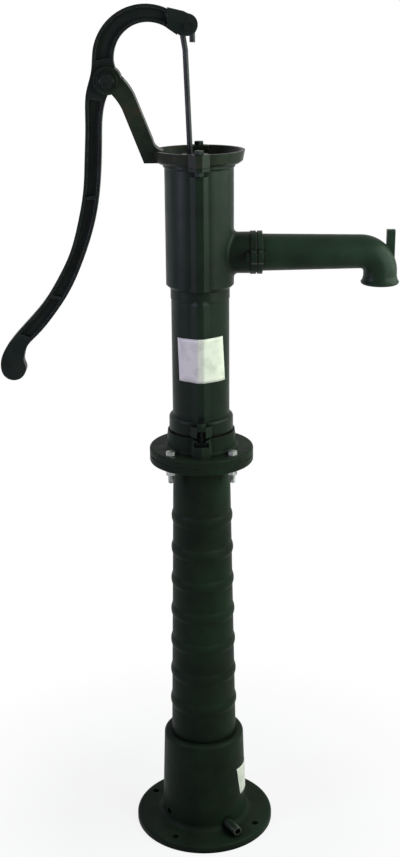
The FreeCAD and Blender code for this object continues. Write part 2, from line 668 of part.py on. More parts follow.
def make_barrel():
    body = new_body("barrel")
    collar_round = cell("collar_round")
    bore = cell("cylinder_bore") / 2
    collar_top = barrel_bottom + cell("collar_height")
    cylinder_radius = cell("cylinder_radius")
    band_bottom = step_bottom - cell("neck_band_length")
    sketch = sketch_on(body, "XZ_Plane", "BarrelProfile")
    closed_outline(sketch, [
        (0, barrel_bottom),
        (cell("collar_radius"), barrel_bottom),
        (cell("collar_radius"), collar_top),
        (cylinder_radius, collar_top + collar_round, collar_round, 1),
        (cylinder_radius, band_bottom - cell("neck_band_rise") * 2),
        (cylinder_radius + cell("neck_band_rise"), band_bottom),
        (cylinder_radius + cell("neck_band_rise"), step_bottom),
        (cell("chamber_radius"), chamber_bottom),
        (cell("chamber_radius"), barrel_top - cell("top_bead_height") - cell("top_bead")),
        (cell("chamber_radius") + cell("top_bead"), barrel_top - cell("top_bead_height")),
        (cell("chamber_radius") + cell("top_bead"), barrel_top),
        (0, barrel_top),
    ])
    revolve(body, sketch, "BarrelCasting")

    add_lower_ribs(body, collar_top, band_bottom)
    nut_bottom = barrel_top - cell("cap_lug_thickness") - cell("small_nut")
    add_upper_ribs(body, step_bottom + cell("step_rise") / 2, nut_bottom - 2)

    sketch = sketch_on(body, "XY_Plane", "FootLug", barrel_bottom)
    lug_outline(sketch, cylinder_radius, cell("lug_half_width"), cell("lug_reach"))
    lug = pad(body, sketch, "FootLugPad", cell("lug_height"))
    around(body, [lug], 2, "FootLugs")
    sketch = sketch_on(body, "XZ_Plane", "LugWindow", cell("slot_back"))
    half = cell("slot_width") / 2
    rectangle(sketch, -half, barrel_bottom - 1, half, barrel_bottom + cell("lug_window"))
    window = pocket(body, sketch, "LugWindowCut", cell("flange_radius"), back=True)
    around(body, [window], 2, "LugWindows")
    sketch = sketch_on(body, "XY_Plane", "TieHole", barrel_bottom + cell("lug_height"))
    circle(sketch, 0, -cell("tie_bolt_place"), bolt_hole)
    hole = pocket(body, sketch, "TieHoleCut", cell("lug_height"))
    around(body, [hole], 2, "TieHoles")

    sketch = sketch_on(body, "XY_Plane", "CapLug", barrel_top)
    nose_outline(sketch, cylinder_radius, cell("cap_lug_reach"))
    lug = pad(body, sketch, "CapLugPad", cell("cap_lug_thickness"), back=True)
    around(body, [lug], 2, "CapLugs")
    sketch = sketch_on(body, "XY_Plane", "CapBoltHole", barrel_top)
    circle(sketch, 0, -cell("cap_bolt_place"), bolt_hole)
    hole = pocket(body, sketch, "CapBoltHoleCut", cell("cap_lug_thickness"))
    around(body, [hole], 2, "CapBoltHoles")

    inside = cell("chamber_radius") * 0.7
    sketch = sketch_on(body, "YZ_Plane", "SpoutStub", inside)
    circle(sketch, 0, spout_level, cell("stub_radius"))
    stub = pad(body, sketch, "SpoutStubPad", cell("stub_reach") + 1 - inside)
    meeting = edges_between(stub, cell("chamber_radius"), cell("stub_radius"), spout_level)
    root = body.newObject("PartDesign::Fillet", "StubRoot")
    root.Base = (stub, meeting)
    root.Radius = cell("stub_fillet").value
    root.setExpression("Radius", cell("stub_fillet").text)
    flange_outline(body, "StubFlange", cell("stub_reach"), cell("stub_flange"), spout_level)

    sketch = sketch_on(body, "XZ_Plane", "BoreProfile")
    wall_step = cell("chamber_bore") / 2 - bore
    closed_outline(sketch, [
        (0, barrel_bottom - 1), (bore, barrel_bottom - 1), (bore, chamber_bottom - wall_step / 2),
        (cell("chamber_bore") / 2, chamber_bottom + wall_step / 2),
        (cell("chamber_bore") / 2, barrel_top + 1), (0, barrel_top + 1)])
    revolve(body, sketch, "BarrelBore", cut=True)
    sketch = sketch_on(body, "YZ_Plane", "SpoutBore", inside)
    circle(sketch, 0, spout_level, cell("spout_bore") / 2)
    pocket(body, sketch, "SpoutBoreCut", cell("stub_reach") + cell("stub_flange") + 1 - inside, back=True)
    keep(body, "barrel")


def flange_outline(body, name, start, thickness, level):
    """Round flange with an ear and a bolt hole on each side, facing +X."""
    sketch = sketch_on(body, "YZ_Plane", name + "Disc", start)
    circle(sketch, 0, level, cell("stub_flange_radius"))
    pad(body, sketch, name, thickness)
    sketch = sketch_on(body, "YZ_Plane", name + "EarShape", start)
    reach = cell("ear_place")
    half = cell("ear_round")
    stadium(sketch, 0, level, reach, half)
    pad(body, sketch, name + "Ears", thickness)
    sketch = sketch_on(body, "YZ_Plane", name + "Holes", start)
    circle(sketch, reach, level, bolt_hole)
    circle(sketch, -reach, level, bolt_hole)
    pocket(body, sketch, name + "HolesCut", thickness, back=True)


# Tie bolts: flat T heads in the base's pockets, nuts on the barrel's lugs
def make_tie_fasteners():
    bolts = []
    nuts = []
    lug_top = barrel_bottom + cell("lug_height")
    head_top = seat_level - cell("slot_lip")
    head_height = cell("head_pocket_height") - 1
    for side in (-1, 1):
        y = cell("tie_bolt_place") * side
        end = lug_top + cell("small_nut") + 3
        shank = cylinder("TieShank", cell("small_bolt") / 2, end - head_top + 1, 0, y, head_top - 1)
        head = block("TieHead", cell("head_pocket_width") - 2, cell("small_bolt"), head_height,
                     0, y, head_top - head_height)
        bolts.append(fuse("TieBolt", shank, head))
        nuts.append(hex_nut("TieNut", "small", 0, y, lug_top))
    keep(group("tie_bolts", bolts), "tie_bolts")
    keep(group("tie_nuts", nuts), "tie_nuts")


def block(name, wide, deep, high, x, y, z):
    """Box centred in plan on x, y with its underside at z."""
    item = doc.addObject("Part::Box", name)
    for side, amount in (("Length", wide), ("Width", deep), ("Height", high)):
        amount = as_size(amount)
        setattr(item, side, amount.value)
        item.setExpression(side, amount.text)
    return place(item, x - as_size(wide) / 2, y - as_size(deep) / 2, z)


# Cap: shallow dish with the rod's slot, bolt noses, and the bracket that carries the lever
def make_cap():
    body = new_body("cap")
    spigot = cell("chamber_bore") / 2 - cell("spigot_clearance")
    inner_rim = cell("rim_radius") - cell("rim_wall")
    slope = cell("rim_height") - cell("cap_floor")
    sketch = sketch_on(body, "XZ_Plane", "CapProfile")
    closed_outline(sketch, [
        (spigot - cell("spigot_wall"), barrel_top - cell("spigot_depth")),
        (spigot, barrel_top - cell("spigot_depth")),
        (spigot, barrel_top),
        (cell("cap_seat_radius"), barrel_top),
        (cell("rim_foot_radius"), barrel_top + cell("rim_foot_rise")),
        (cell("rim_radius"), rim_top),
        (inner_rim, rim_top),
        (inner_rim - slope * 0.5, floor_top),
        (0, floor_top),
        (0, barrel_top),
        (spigot - cell("spigot_wall"), barrel_top),
    ])
    revolve(body, sketch, "CapCasting")
    sketch = sketch_on(body, "XY_Plane", "Nose", barrel_top)
    nose_outline(sketch, cell("nose_back"), cell("nose_reach"))
    nose = pad(body, sketch, "NosePad", cell("rim_height"))
    around(body, [nose], 2, "Noses")
    sketch = sketch_on(body, "XY_Plane", "NoseHole", rim_top)
    circle(sketch, 0, -cell("cap_bolt_place"), bolt_hole)
    hole = pocket(body, sketch, "NoseHoleCut", cell("rim_height"))
    around(body, [hole], 2, "NoseHoles")
    reach = (cell("rod_slot_length") - cell("rod_slot_width")) / 2
    half = cell("rod_slot_width") / 2
    sketch = sketch_on(body, "XY_Plane", "RodBoss", floor_top)
    stadium(sketch, cell("rod_slot_centre"), 0, reach, half + cell("rod_boss_wall"))
    pad(body, sketch, "RodBossPad", cell("rod_boss_height"))

    sketch = sketch_on(body, "XZ_Plane", "Arm")
    root = -cell("arm_root_reach")
    arm_outline(sketch, root)
    pad(body, sketch, "ArmPad", cell("bracket_thickness"), middle=True)
    sketch = sketch_on(body, "XZ_Plane", "Eye")
    circle(sketch, fulcrum_x, fulcrum_z, cell("eye_radius"))
    pad(body, sketch, "EyePad", cell("bracket_thickness"), middle=True)
    sketch = sketch_on(body, "XZ_Plane", "EyeRing")
    circle(sketch, fulcrum_x, fulcrum_z, cell("eye_ring_radius"))
    pad(body, sketch, "EyeRingPad", cell("bracket_thickness") + cell("eye_ring_rise") * 2, middle=True)
    sketch = sketch_on(body, "XZ_Plane", "Fork")
    circle(sketch, fulcrum_x, fulcrum_z, cell("fork_depth"))
    pocket(body, sketch, "ForkCut", cell("fork_gap"), middle=True)
    sketch = sketch_on(body, "XZ_Plane", "FulcrumHole")
    circle(sketch, fulcrum_x, fulcrum_z, cell("fulcrum_bolt") / 2 + cell("bolt_clearance") / 2)
    pocket(body, sketch, "FulcrumHoleCut", cell("bracket_thickness") * 2, middle=True)
    sketch = sketch_on(body, "XY_Plane", "RodSlot", floor_top + cell("rod_boss_height"))
    stadium(sketch, cell("rod_slot_centre"), 0, reach, half)
    pocket(body, sketch, "RodSlotCut", cell("rod_boss_height") + cell("cap_floor") + 1)
    keep(body, "cap")


def arm_outline(sketch, root):
    """Arm from the cap's rim up to the eye, nearly straight, with curved ends."""
    width = cell("arm_width")
    top_left = fulcrum_x + cell("eye_radius") * 0.25
    top_right = fulcrum_x + cell("eye_radius") * 0.85
    fillet = cell("arm_root_fillet")
    inner = root + width * 0.47
    closed_outline(sketch, [
        (root, barrel_top + 1),
        (root + width, barrel_top + 1),
        (root + width, rim_top),
        (inner, rim_top + fillet * 1.6, fillet * 1.9, -1),
        (fulcrum_x + width * 1.4, fulcrum_z - cell("eye_radius") * 1.1),
        (top_right, fulcrum_z + cell("eye_radius") * 0.35, width * 3, 1),
        (top_left, fulcrum_z - cell("eye_radius") * 0.9),
        (fulcrum_x + width * 0.75, fulcrum_z - cell("eye_radius") * 2.0, width * 3, -1),
    ])


def make_cap_fasteners():
    bolts = []
    nuts = []
    lug_bottom = barrel_top - cell("cap_lug_thickness")
    end = lug_bottom - cell("small_nut") - 2
    for side in (-1, 1):
        y = cell("cap_bolt_place") * side
        shank = cylinder("CapShank", cell("small_bolt") / 2, rim_top - end, 0, y, end)
        head = hexagon("CapHead", cell("small_flats"), cell("small_head"), 0, y, rim_top)
        bolts.append(fuse("CapBolt", shank, head))
        nuts.append(hex_nut("CapNut", "small", 0, y, lug_bottom - cell("small_nut")))
    keep(group("cap_bolts", bolts), "cap_bolts")
    keep(group("cap_nuts", nuts), "cap_nuts")


# Spout: flange, tapering tube, quarter bend, flared lip and the bucket post, bored through
def make_spout():
    body = new_body("spout")
    place(body, 0, 0, spout_level)
    start = cell("stub_reach") + cell("stub_flange") + cell("spout_gasket_sheet")
    flange_end = start + cell("spout_flange")
    tube_end = flange_end + cell("tube_length")
    radius = cell("tube_radius")
    bend = cell("bend_radius")
    flange_outline(body, "SpoutFlange", start, cell("spout_flange"), 0)
    sketch = sketch_on(body, "XZ_Plane", "TubeProfile")
    closed_outline(sketch, [
        (start, 0), (start, cell("tube_root_radius")), (flange_end, cell("tube_root_radius")),
        (tube_end, radius), (tube_end, 0)])
    revolve(body, sketch, "Tube", axis="H_Axis")
    bend_outer, path = bend_sketches(body, "Bend", tube_end, radius)
    feature = body.newObject("PartDesign::AdditivePipe", "BendPipe")
    feature.Profile = bend_outer
    feature.Spine = path
    tail_x = tube_end + bend
    tail_bottom = -(bend + cell("tail_length"))
    lip = cell("lip_radius")
    height = cell("lip_height")
    sketch = sketch_on(body, "XY_Plane", "TailCircle", -bend)
    circle(sketch, tail_x, 0, radius)
    pad(body, sketch, "Tail", cell("tail_length"), back=True)
    lip_ring(body, tail_x, tail_bottom, radius, lip, height)
    sketch = sketch_on(body, "XZ_Plane", "PostShape")
    centre = cell("hook_post_place")
    half = cell("hook_post_width") / 2
    rectangle(sketch, centre - half, -bend, centre + half, cell("hook_post_rise"))
    pad(body, sketch, "Post", cell("hook_post_depth"), middle=True)
    inner = radius - cell("tube_wall")
    sketch = sketch_on(body, "XZ_Plane", "TubeBoreProfile")
    rectangle(sketch, start - 1, 0, tube_end, inner)
    revolve(body, sketch, "TubeBore", axis="H_Axis", cut=True)
    bend_inner, path = bend_sketches(body, "BendBore", tube_end, inner)
    feature = body.newObject("PartDesign::SubtractivePipe", "BendBorePipe")
    feature.Profile = bend_inner
    feature.Spine = path
    sketch = sketch_on(body, "XY_Plane", "TailBoreCircle", -bend)
    circle(sketch, tail_x, 0, inner)
    pocket(body, sketch, "TailBore", cell("tail_length") + 1)
    keep(body, "spout")


def bend_sketches(body, name, tube_end, radius):
    profile = sketch_on(body, "YZ_Plane", name + "Profile", tube_end)
    circle(profile, 0, 0, radius)
    path = sketch_on(body, "XZ_Plane", name + "Path")
    bend = cell("bend_radius")
    outline(path, (tube_end, 0), [(tube_end + bend, -bend, bend, -1)], closed=False)
    return profile, path


def lip_ring(body, x, bottom, radius, lip, height):
    """Flared lip turned round the tail's own axis."""
    sketch = sketch_on(body, "XZ_Plane", "LipProfile")
    round_size = height / 2
    closed_outline(sketch, [
        (x, bottom), (x + lip - round_size, bottom), (x + lip, bottom + round_size, round_size, 1),
        (x + lip - round_size / 2, bottom + round_size * 1.7),
        (x + radius, bottom + height * 1.6), (x, bottom + height * 1.6)])
    low = FreeCAD.Vector(x.value, bottom.value, 0)
    high = FreeCAD.Vector(x.value, bottom.value + height.value, 0)
    axis = sketch.addGeometry(Part.LineSegment(low, high), True)
    pin_point(sketch, axis, 1, x, bottom)
    pin_point(sketch, axis, 2, x, bottom + height)
    revolve(body, sketch, "Lip", axis="Axis0")


def make_spout_fasteners():
    start = cell("stub_reach") + cell("stub_flange")
    across = FreeCAD.Rotation(FreeCAD.Vector(0, 1, 0), 90)
    gasket = ring("SpoutGasket", cell("stub_flange_radius") - 2, cell("spout_bore") / 2,
                  cell("spout_gasket_sheet"), start, 0, spout_level, rotation=across)
    keep(gasket, "spout_gasket")
    head_seat = start + cell("spout_gasket_sheet") + cell("spout_flange")
    nut_seat = cell("stub_reach") - cell("small_nut")
    bolts = []
    nuts = []
    for side in (-1, 1):
        y = cell("ear_place") * side
        shank = cylinder("SpoutShank", cell("small_bolt") / 2, head_seat - nut_seat + 2,
                         nut_seat - 2, y, spout_level, rotation=across)
        head = hexagon("SpoutHead", cell("small_flats"), cell("small_head"), head_seat, y, spout_level,
                       rotation=across)
        bolts.append(fuse("SpoutBolt", shank, head))
        nuts.append(hex_nut("SpoutNut", "small", nut_seat, y, spout_level, rotation=across))
    keep(group("spout_bolts", bolts), "spout_bolts")
    keep(group("spout_nuts", nuts), "spout_nuts")


# Fulcrum bolt and its nut and washers, clamped in the bracket's fork
def make_fulcrum():
    along = FreeCAD.Rotation(FreeCAD.Vector(1, 0, 0), -90)
    half = cell("bracket_thickness") / 2 + cell("eye_ring_rise")
    washer = cell("big_washer")
    head_seat = -half - washer
    nut_seat = half + washer
    end = nut_seat + cell("big_nut") + 3
    shank = cylinder("FulcrumShank", cell("fulcrum_bolt") / 2, end - head_seat, fulcrum_x, head_seat,
                     fulcrum_z, rotation=along)
    head = hexagon("FulcrumHead", cell("big_flats"), cell("big_head"), fulcrum_x,
                   head_seat - cell("big_head"), fulcrum_z, rotation=along)
    keep(fuse("FulcrumBolt", shank, head), "fulcrum_bolt")
    washers = []
    for y in (head_seat, half):
        washers.append(ring("FulcrumWasher", cell("big_washer_radius"), cell("fulcrum_bolt") / 2,
                            washer, fulcrum_x, y, fulcrum_z, rotation=along))
    keep(group("fulcrum_washers", washers), "fulcrum_washers")
    nut = hex_nut("FulcrumNut", "big", fulcrum_x, nut_seat, fulcrum_z, rotation=along,
                  bore=cell("fulcrum_bolt") / 2)
    keep(nut, "fulcrum_nut")


# Lever: one casting with a curved bow, hub, handle and knob, recessed between edge ribs on both faces.
# Its outline is free form: one smooth curve through points about the fulcrum, closed at the fork end.
KNOB_MIDDLE = (-152.6, -416)
HANDLE_BACK = [(-22.5, 11), (-29.7, -14), (-32.6, -55), (-35.2, -105), (-39.4, -156), (-48.3, -199),
               (-61.7, -243), (-79.7, -279), (-101.7, -314), (-133.3, -350), (-156.3, -376), (-169.4, -399)]
HANDLE_FRONT = [(-135.7, -396), (-130.3, -382), (-117.3, -368), (-86.2, -332), (-62.2, -296), (-45.2, -260),
                (-30.8, -221), (-20.4, -182), (-13.2, -129), (-10.6, -82), (-7, -40), (0, -20), (10, -4),
                (13, 8)]
CROSS_RIBS = [((-43, -163.2), (-19, -163.2)), ((-98, -303), (-74, -312)), ((-147, -360), (-127, -371))]


def handle_unit():
    """Scale of the handle's points against the drop to the knob that they are drawn for."""
    return VALUES["handle_drop"] / -KNOB_MIDDLE[1]


def lever_points():
    """Outline points from the bow's nose over the back, round the knob and up to the bow's inside."""
    reach = VALUES["pin_reach"]
    unit = handle_unit()

    def arc(x, z, radius, degrees):
        turns = [math.radians(turn) for turn in degrees]
        return [(x + radius * math.cos(turn), z + radius * math.sin(turn)) for turn in turns]

    bow = arc(reach - VALUES["bow_setback"], VALUES["bow_rise"], VALUES["bow_radius"],
              (66, 80, 95, 110, 125, 140, 155, 168, 178))
    knob = arc(KNOB_MIDDLE[0] * unit, KNOB_MIDDLE[1] * unit, VALUES["knob_radius"],
               (185, 215, 245, 275, 305, 335, 5, 30))
    inside = arc(reach - VALUES["bow_setback"] + VALUES["bow_inner_forward"],
                 VALUES["bow_rise"] + VALUES["bow_inner_lift"], VALUES["bow_inner_radius"],
                 (186, 172, 155, 135, 115, 95, 75, 52))
    back = [(x * unit, z * unit) for x, z in HANDLE_BACK]
    front = [(x * unit, z * unit) for x, z in HANDLE_FRONT]
    return bow + back + knob + front + inside


def lever_point(x, z):
    """A point in the lever's sketch, given from the fulcrum."""
    return FreeCAD.Vector(fulcrum_x.value + x, fulcrum_z.value + z, 0)


def smooth(points):
    """Curve through points, its parameter the length along the chords."""
    lengths = [0.0]
    for before, after in zip(points, points[1:]):
        lengths.append(lengths[-1] + before.distanceToPoint(after))
    curve = Part.BSplineCurve()
    curve.interpolate(Points=points, Parameters=lengths)
    return curve


def inset_curve(curve, start, end, rib):
    """Curve a rib's width inside a stretch of the outline."""
    first = curve.parameter(start)
    last = curve.parameter(end)
    points = []
    for step in range(13):
        at = first + (last - first) * step / 12
        along = curve.tangent(at)[0]
        inward = FreeCAD.Vector(-along.y, along.x, 0).normalize()
        points.append(curve.value(at) + inward * rib)
    return smooth(points), points[0], points[-1]


def add_recess(sketch, curve, back, front):
    """One recess between two stretches of the outline, closed by straight ends."""
    rib = VALUES["lever_rib"]
    back_curve, back_start, back_end = inset_curve(curve, back[0], back[1], rib)
    front_curve, front_start, front_end = inset_curve(curve, front[0], front[1], rib)
    sketch.addGeometry(back_curve, False)
    sketch.addGeometry(Part.LineSegment(back_end, front_start), False)
    sketch.addGeometry(front_curve, False)
    sketch.addGeometry(Part.LineSegment(front_end, back_start), False)


def make_lever():
    body = new_body("lever")
    thick = cell("lever_thickness")
    reach = VALUES["pin_reach"]
    rise = VALUES["pin_rise"]
    unit = handle_unit()
    points = [lever_point(x, z) for x, z in lever_points()]
    curve = smooth(points)
    end = cell("fork_end_radius")
    nose_low = lever_point(reach - end.value * 0.93, rise - end.value * 0.73)
    nose_high = lever_point(reach - end.value * 0.4, rise + end.value * 0.8)
    sketch = sketch_on(body, "XZ_Plane", "LeverOutline")
    stretch = 6
    for first in range(0, len(points) - 1, stretch):
        last = min(first + stretch, len(points) - 1)
        piece = curve.copy()
        piece.segment(curve.parameter(points[first]), curve.parameter(points[last]))
        sketch.addGeometry(piece, False)
    sketch.addGeometry(Part.LineSegment(points[-1], nose_low), False)
    sketch.addGeometry(Part.LineSegment(nose_low, nose_high), False)
    sketch.addGeometry(Part.LineSegment(nose_high, points[0]), False)
    pad(body, sketch, "LeverPad", thick, middle=True)

    half = VALUES["cross_rib"] / 2
    stations = []
    for (back_x, back_z), (front_x, front_z) in CROSS_RIBS:
        back = lever_point(back_x * unit, back_z * unit)
        stations.append((back, lever_point(front_x * unit, front_z * unit)))
    for side in (1, -1):
        sketch = sketch_on(body, "XZ_Plane", "Recess", cell("lever_web") / 2 * side)
        hub = VALUES["hub_disc_radius"] + VALUES["recess_gap"]
        top = (lever_point(-33 * unit, -hub), lever_point(-4 * unit, -hub * 1.25))
        for back, front in stations:
            across = (front - back).normalize()
            down = FreeCAD.Vector(across.y, -across.x, 0)
            add_recess(sketch, curve, (top[0], back - down * half), (front - down * half, top[1]))
            top = (back + down * half, front + down * half)
        bow_end = reach - VALUES["fork_end_length"] - VALUES["recess_gap"] * 0.6
        add_recess(sketch, curve,
                   (lever_point(bow_end * 1.05, rise + end.value * 2), lever_point(-hub * 1.07, hub * 1.12)),
                   (lever_point(hub * 0.25, hub * 1.25), lever_point(bow_end, rise - end.value / 3)))
        pocket(body, sketch, "RecessCut", thick, back=side > 0)

    sketch = sketch_on(body, "XZ_Plane", "Hub")
    circle(sketch, fulcrum_x, fulcrum_z, cell("hub_disc_radius"))
    pad(body, sketch, "HubPad", thick, middle=True)
    eye_z = pin_z + cell("fork_end_lift")
    sketch = sketch_on(body, "XZ_Plane", "ForkEnd")
    left = pin_x - cell("fork_end_length")
    closed_outline(sketch, [
        (left, pin_z - 2), (pin_x - end * 0.6, eye_z - end * 0.96), (pin_x, eye_z - end * 0.9),
        (pin_x + end * 0.3, eye_z + end * 0.9), (pin_x - end * 0.3, eye_z + end * 1.2),
        (left, eye_z + end * 1.55)])
    pad(body, sketch, "ForkEndPad", cell("fork_end_thickness"), middle=True)
    sketch = sketch_on(body, "XZ_Plane", "ForkEye")
    circle(sketch, pin_x, eye_z, end)
    pad(body, sketch, "ForkEyePad", cell("fork_end_thickness"), middle=True)
    sketch = sketch_on(body, "XZ_Plane", "ForkSlot")
    room = cell("pin_bore") / 2 + cell("rod_diameter") + cell("hook_clearance") + 1
    rectangle(sketch, pin_x - room, pin_z - end * 2, pin_x + end * 2, pin_z + room)
    pocket(body, sketch, "ForkSlotCut", cell("rod_diameter") + cell("rod_side_gap") * 2, middle=True)
    sketch = sketch_on(body, "XZ_Plane", "PinHole")
    circle(sketch, pin_x, pin_z, cell("pin_bore") / 2 + cell("pin_fit"))
    pocket(body, sketch, "PinHoleCut", cell("fork_end_thickness"), middle=True)
    sketch = sketch_on(body, "XZ_Plane", "HubBore")
    circle(sketch, fulcrum_x, fulcrum_z, cell("fulcrum_bolt") / 2 + cell("hub_bore_clearance"))
    pocket(body, sketch, "HubBoreCut", thick, middle=True)
    keep(body, "lever")


# Hook pin through the lever's forked end, with a head in front and a split pin behind
def make_hook_pin():
    along = FreeCAD.Rotation(FreeCAD.Vector(1, 0, 0), -90)
    half = cell("fork_end_thickness") / 2
    tail = cell("pin_tail")
    head_thick = cell("pin_head")
    wire = cell("split_pin_wire") / 2
    y = half + tail - wire * 3
    shank = cylinder("PinShank", cell("pin_bore") / 2, half * 2 + tail, pin_x, -half, pin_z, rotation=along)
    head = cylinder("PinHead", cell("pin_bore") * 0.8, head_thick, pin_x, -half - head_thick, pin_z,
                    rotation=along)
    hole = cylinder("PinCrossHole", wire + cell("pin_fit"), cell("pin_bore") * 2, pin_x, y,
                    pin_z - cell("pin_bore"))
    keep(cut("HookPin", fuse("PinWhole", shank, head), hole), "hook_pin")
    stem = cylinder("SplitStem", wire, cell("pin_bore") * 2, pin_x, y, pin_z - cell("pin_bore"))
    loop = doc.addObject("Part::Torus", "SplitLoop")
    loop.setExpression("Radius1", (wire * 2.4).text)
    loop.setExpression("Radius2", wire.text)
    place(loop, pin_x, y, pin_z + cell("pin_bore") + wire * 2, rotation=along)
    keep(fuse("SplitPin", stem, loop), "hook_split_pin")


# Piston rod: straight steel rod, set over near the top and hooked over the pin
def make_rod():
    body = new_body("piston_rod")
    radius = cell("rod_diameter") / 2
    loop = cell("pin_bore") / 2 + cell("hook_clearance") + radius
    sketch = sketch_on(body, "XZ_Plane", "RodPath")
    left = pin_x - loop
    knee_x, knee_z = rod_knee()
    outline(sketch, (rod_foot()[0], rod_foot()[1]), [
        (knee_x, knee_z),
        (left, pin_z - cell("hook_straight")),
        (left, pin_z),
        (pin_x, pin_z + loop, loop, -1),
        (pin_x + loop, pin_z, loop, -1),
        (pin_x + loop, pin_z - cell("hook_tail"))], closed=False)
    section = sketch_on(body, "XY_Plane", "RodSection", rod_foot()[1])
    circle(section, rod_foot()[0], 0, radius)
    feature = body.newObject("PartDesign::AdditivePipe", "RodPipe")
    feature.Profile = section
    feature.Spine = sketch
    feature.Transition = "Round corner"
    keep(body, "piston_rod")


def rod_foot():
    """Lower tip of the rod at rest, under the cage's bridge."""
    return cell("rod_foot_offset"), bridge_bottom - cell("rod_nut_play") - cell("small_nut") - cell("rod_tip")


def rod_tilt():
    """Lean of the rod's straight length from upright, in radians."""
    foot_x, foot_z = rod_foot()
    knee_x, knee_z = rod_knee()
    return math.atan2(knee_x.value - foot_x.value, knee_z.value - foot_z.value)


def rod_knee():
    loop = cell("pin_bore") / 2 + cell("hook_clearance") + cell("rod_diameter") / 2
    return pin_x - loop + cell("hook_tail") * 0.2, pin_z - cell("hook_tail") * 1.5


# Lock nuts above and below the cage's bridge, square to the leaning rod
def make_rod_nuts():
    tilt = rod_tilt()
    lean = FreeCAD.Rotation(FreeCAD.Vector(0, 1, 0), math.degrees(tilt))
    foot_x, foot_z = rod_foot()
    nuts = []
    for level in (foot_z + cell("rod_tip"), bridge_top + cell("rod_nut_gap")):
        x = foot_x + (level - foot_z) * math.tan(tilt)
        nuts.append(hex_nut("RodNut", "small", x, 0, level, rotation=lean))
    keep(group("rod_nuts", nuts), "rod_nuts")


# Plunger: spigot, flange and valve seat turned as one, with a bridged cage above for the rod
def make_plunger():
    body = new_body("plunger")
    port = cell("plunger_port") / 2
    flange = cell("cylinder_bore") / 2 - cell("cup_clearance") - cell("cup_leather") - 0.5
    flange_top = flange_bottom + cell("plunger_flange")
    sketch = sketch_on(body, "XZ_Plane", "PlungerProfile")
    closed_outline(sketch, [
        (port, piston_seat - cell("follower_height")),
        (cell("spigot_radius"), piston_seat - cell("follower_height")),
        (cell("spigot_radius"), flange_bottom),
        (flange, flange_bottom),
        (flange, flange_top),
        (cell("plunger_hub_radius"), flange_top + cell("plunger_slope")),
        (cell("plunger_hub_radius"), hub_top),
        (port, hub_top)])
    revolve(body, sketch, "PlungerTurned")
    sketch = sketch_on(body, "YZ_Plane", "CageShape")
    reach = cell("cage_reach")
    corner = cell("cage_corner")
    inner = reach - cell("cage_arm_depth")
    root = flange_top + 2
    closed_outline(sketch, [
        (-reach, root), (-inner, root), (-inner, bridge_bottom), (inner, bridge_bottom), (inner, root),
        (reach, root), (reach, bridge_top - corner), (reach - corner, bridge_top, corner, 1),
        (-(reach - corner), bridge_top), (-reach, bridge_top - corner, corner, 1)])
    pad(body, sketch, "CagePad", cell("cage_arm_width"), middle=True)
    sketch = sketch_on(body, "XY_Plane", "BridgeShape", bridge_bottom)
    half = cell("cage_bridge_width") / 2
    wide = reach * 0.45
    closed_outline(sketch, [
        (-half, -wide), (-cell("cage_arm_width") / 2, -reach + 2), (cell("cage_arm_width") / 2, -reach + 2),
        (half, -wide), (half, wide), (cell("cage_arm_width") / 2, reach - 2),
        (-cell("cage_arm_width") / 2, reach - 2), (-half, wide)])
    pad(body, sketch, "BridgePad", cell("cage_bridge"))
    sketch = sketch_on(body, "XY_Plane", "BridgeSlot", bridge_top)
    half = (cell("rod_diameter") + 1) / 2
    stadium(sketch, 0, 0, cell("cage_slot") / 2 - half, half)
    pocket(body, sketch, "BridgeSlotCut", cell("cage_bridge"))
    keep(body, "plunger")


# Cup leather: flat washer with a wall turned up against the cylinder
def make_cup():
    body = new_body("cup_leather")
    outer = cell("cylinder_bore") / 2 - cell("cup_clearance")
    leather = cell("cup_leather")
    sketch = sketch_on(body, "XZ_Plane", "CupProfile")
    closed_outline(sketch, [
        (cell("spigot_radius"), piston_seat), (outer - 2, piston_seat), (outer, piston_seat + 2, 2, 1),
        (outer, piston_seat + cell("cup_height")), (outer - leather, piston_seat + cell("cup_height")),
        (outer - leather, flange_bottom), (cell("spigot_radius"), flange_bottom)])
    revolve(body, sketch, "CupMoulded")
    keep(body, "cup_leather")


def make_follower():
    height = cell("follower_height")
    follower = ring("Follower", cell("follower_radius"), cell("spigot_radius"), height, 0, 0,
                    piston_seat - height)
    keep(follower, "cup_follower")


# Plunger valve: disc on the seat, boss above and a cross of guide wings in the port
def make_poppet():
    rest = hub_top + cell("valve_rest_gap")
    disc = cylinder("PoppetDisc", cell("poppet_radius"), cell("poppet_height"), 0, 0, rest)
    boss = cylinder("PoppetBoss", cell("poppet_radius") * 0.35, cell("poppet_boss"), 0, 0,
                    rest + cell("poppet_height"))
    wing = cell("plunger_port") - 1
    depth = cell("plunger_hub_rise")
    first = block("WingX", wing, 3, depth, 0, 0, rest - depth)
    second = block("WingY", 3, wing, depth, 0, 0, rest - depth)
    keep(fuse("Poppet", disc, boss, first, second), "plunger_valve")


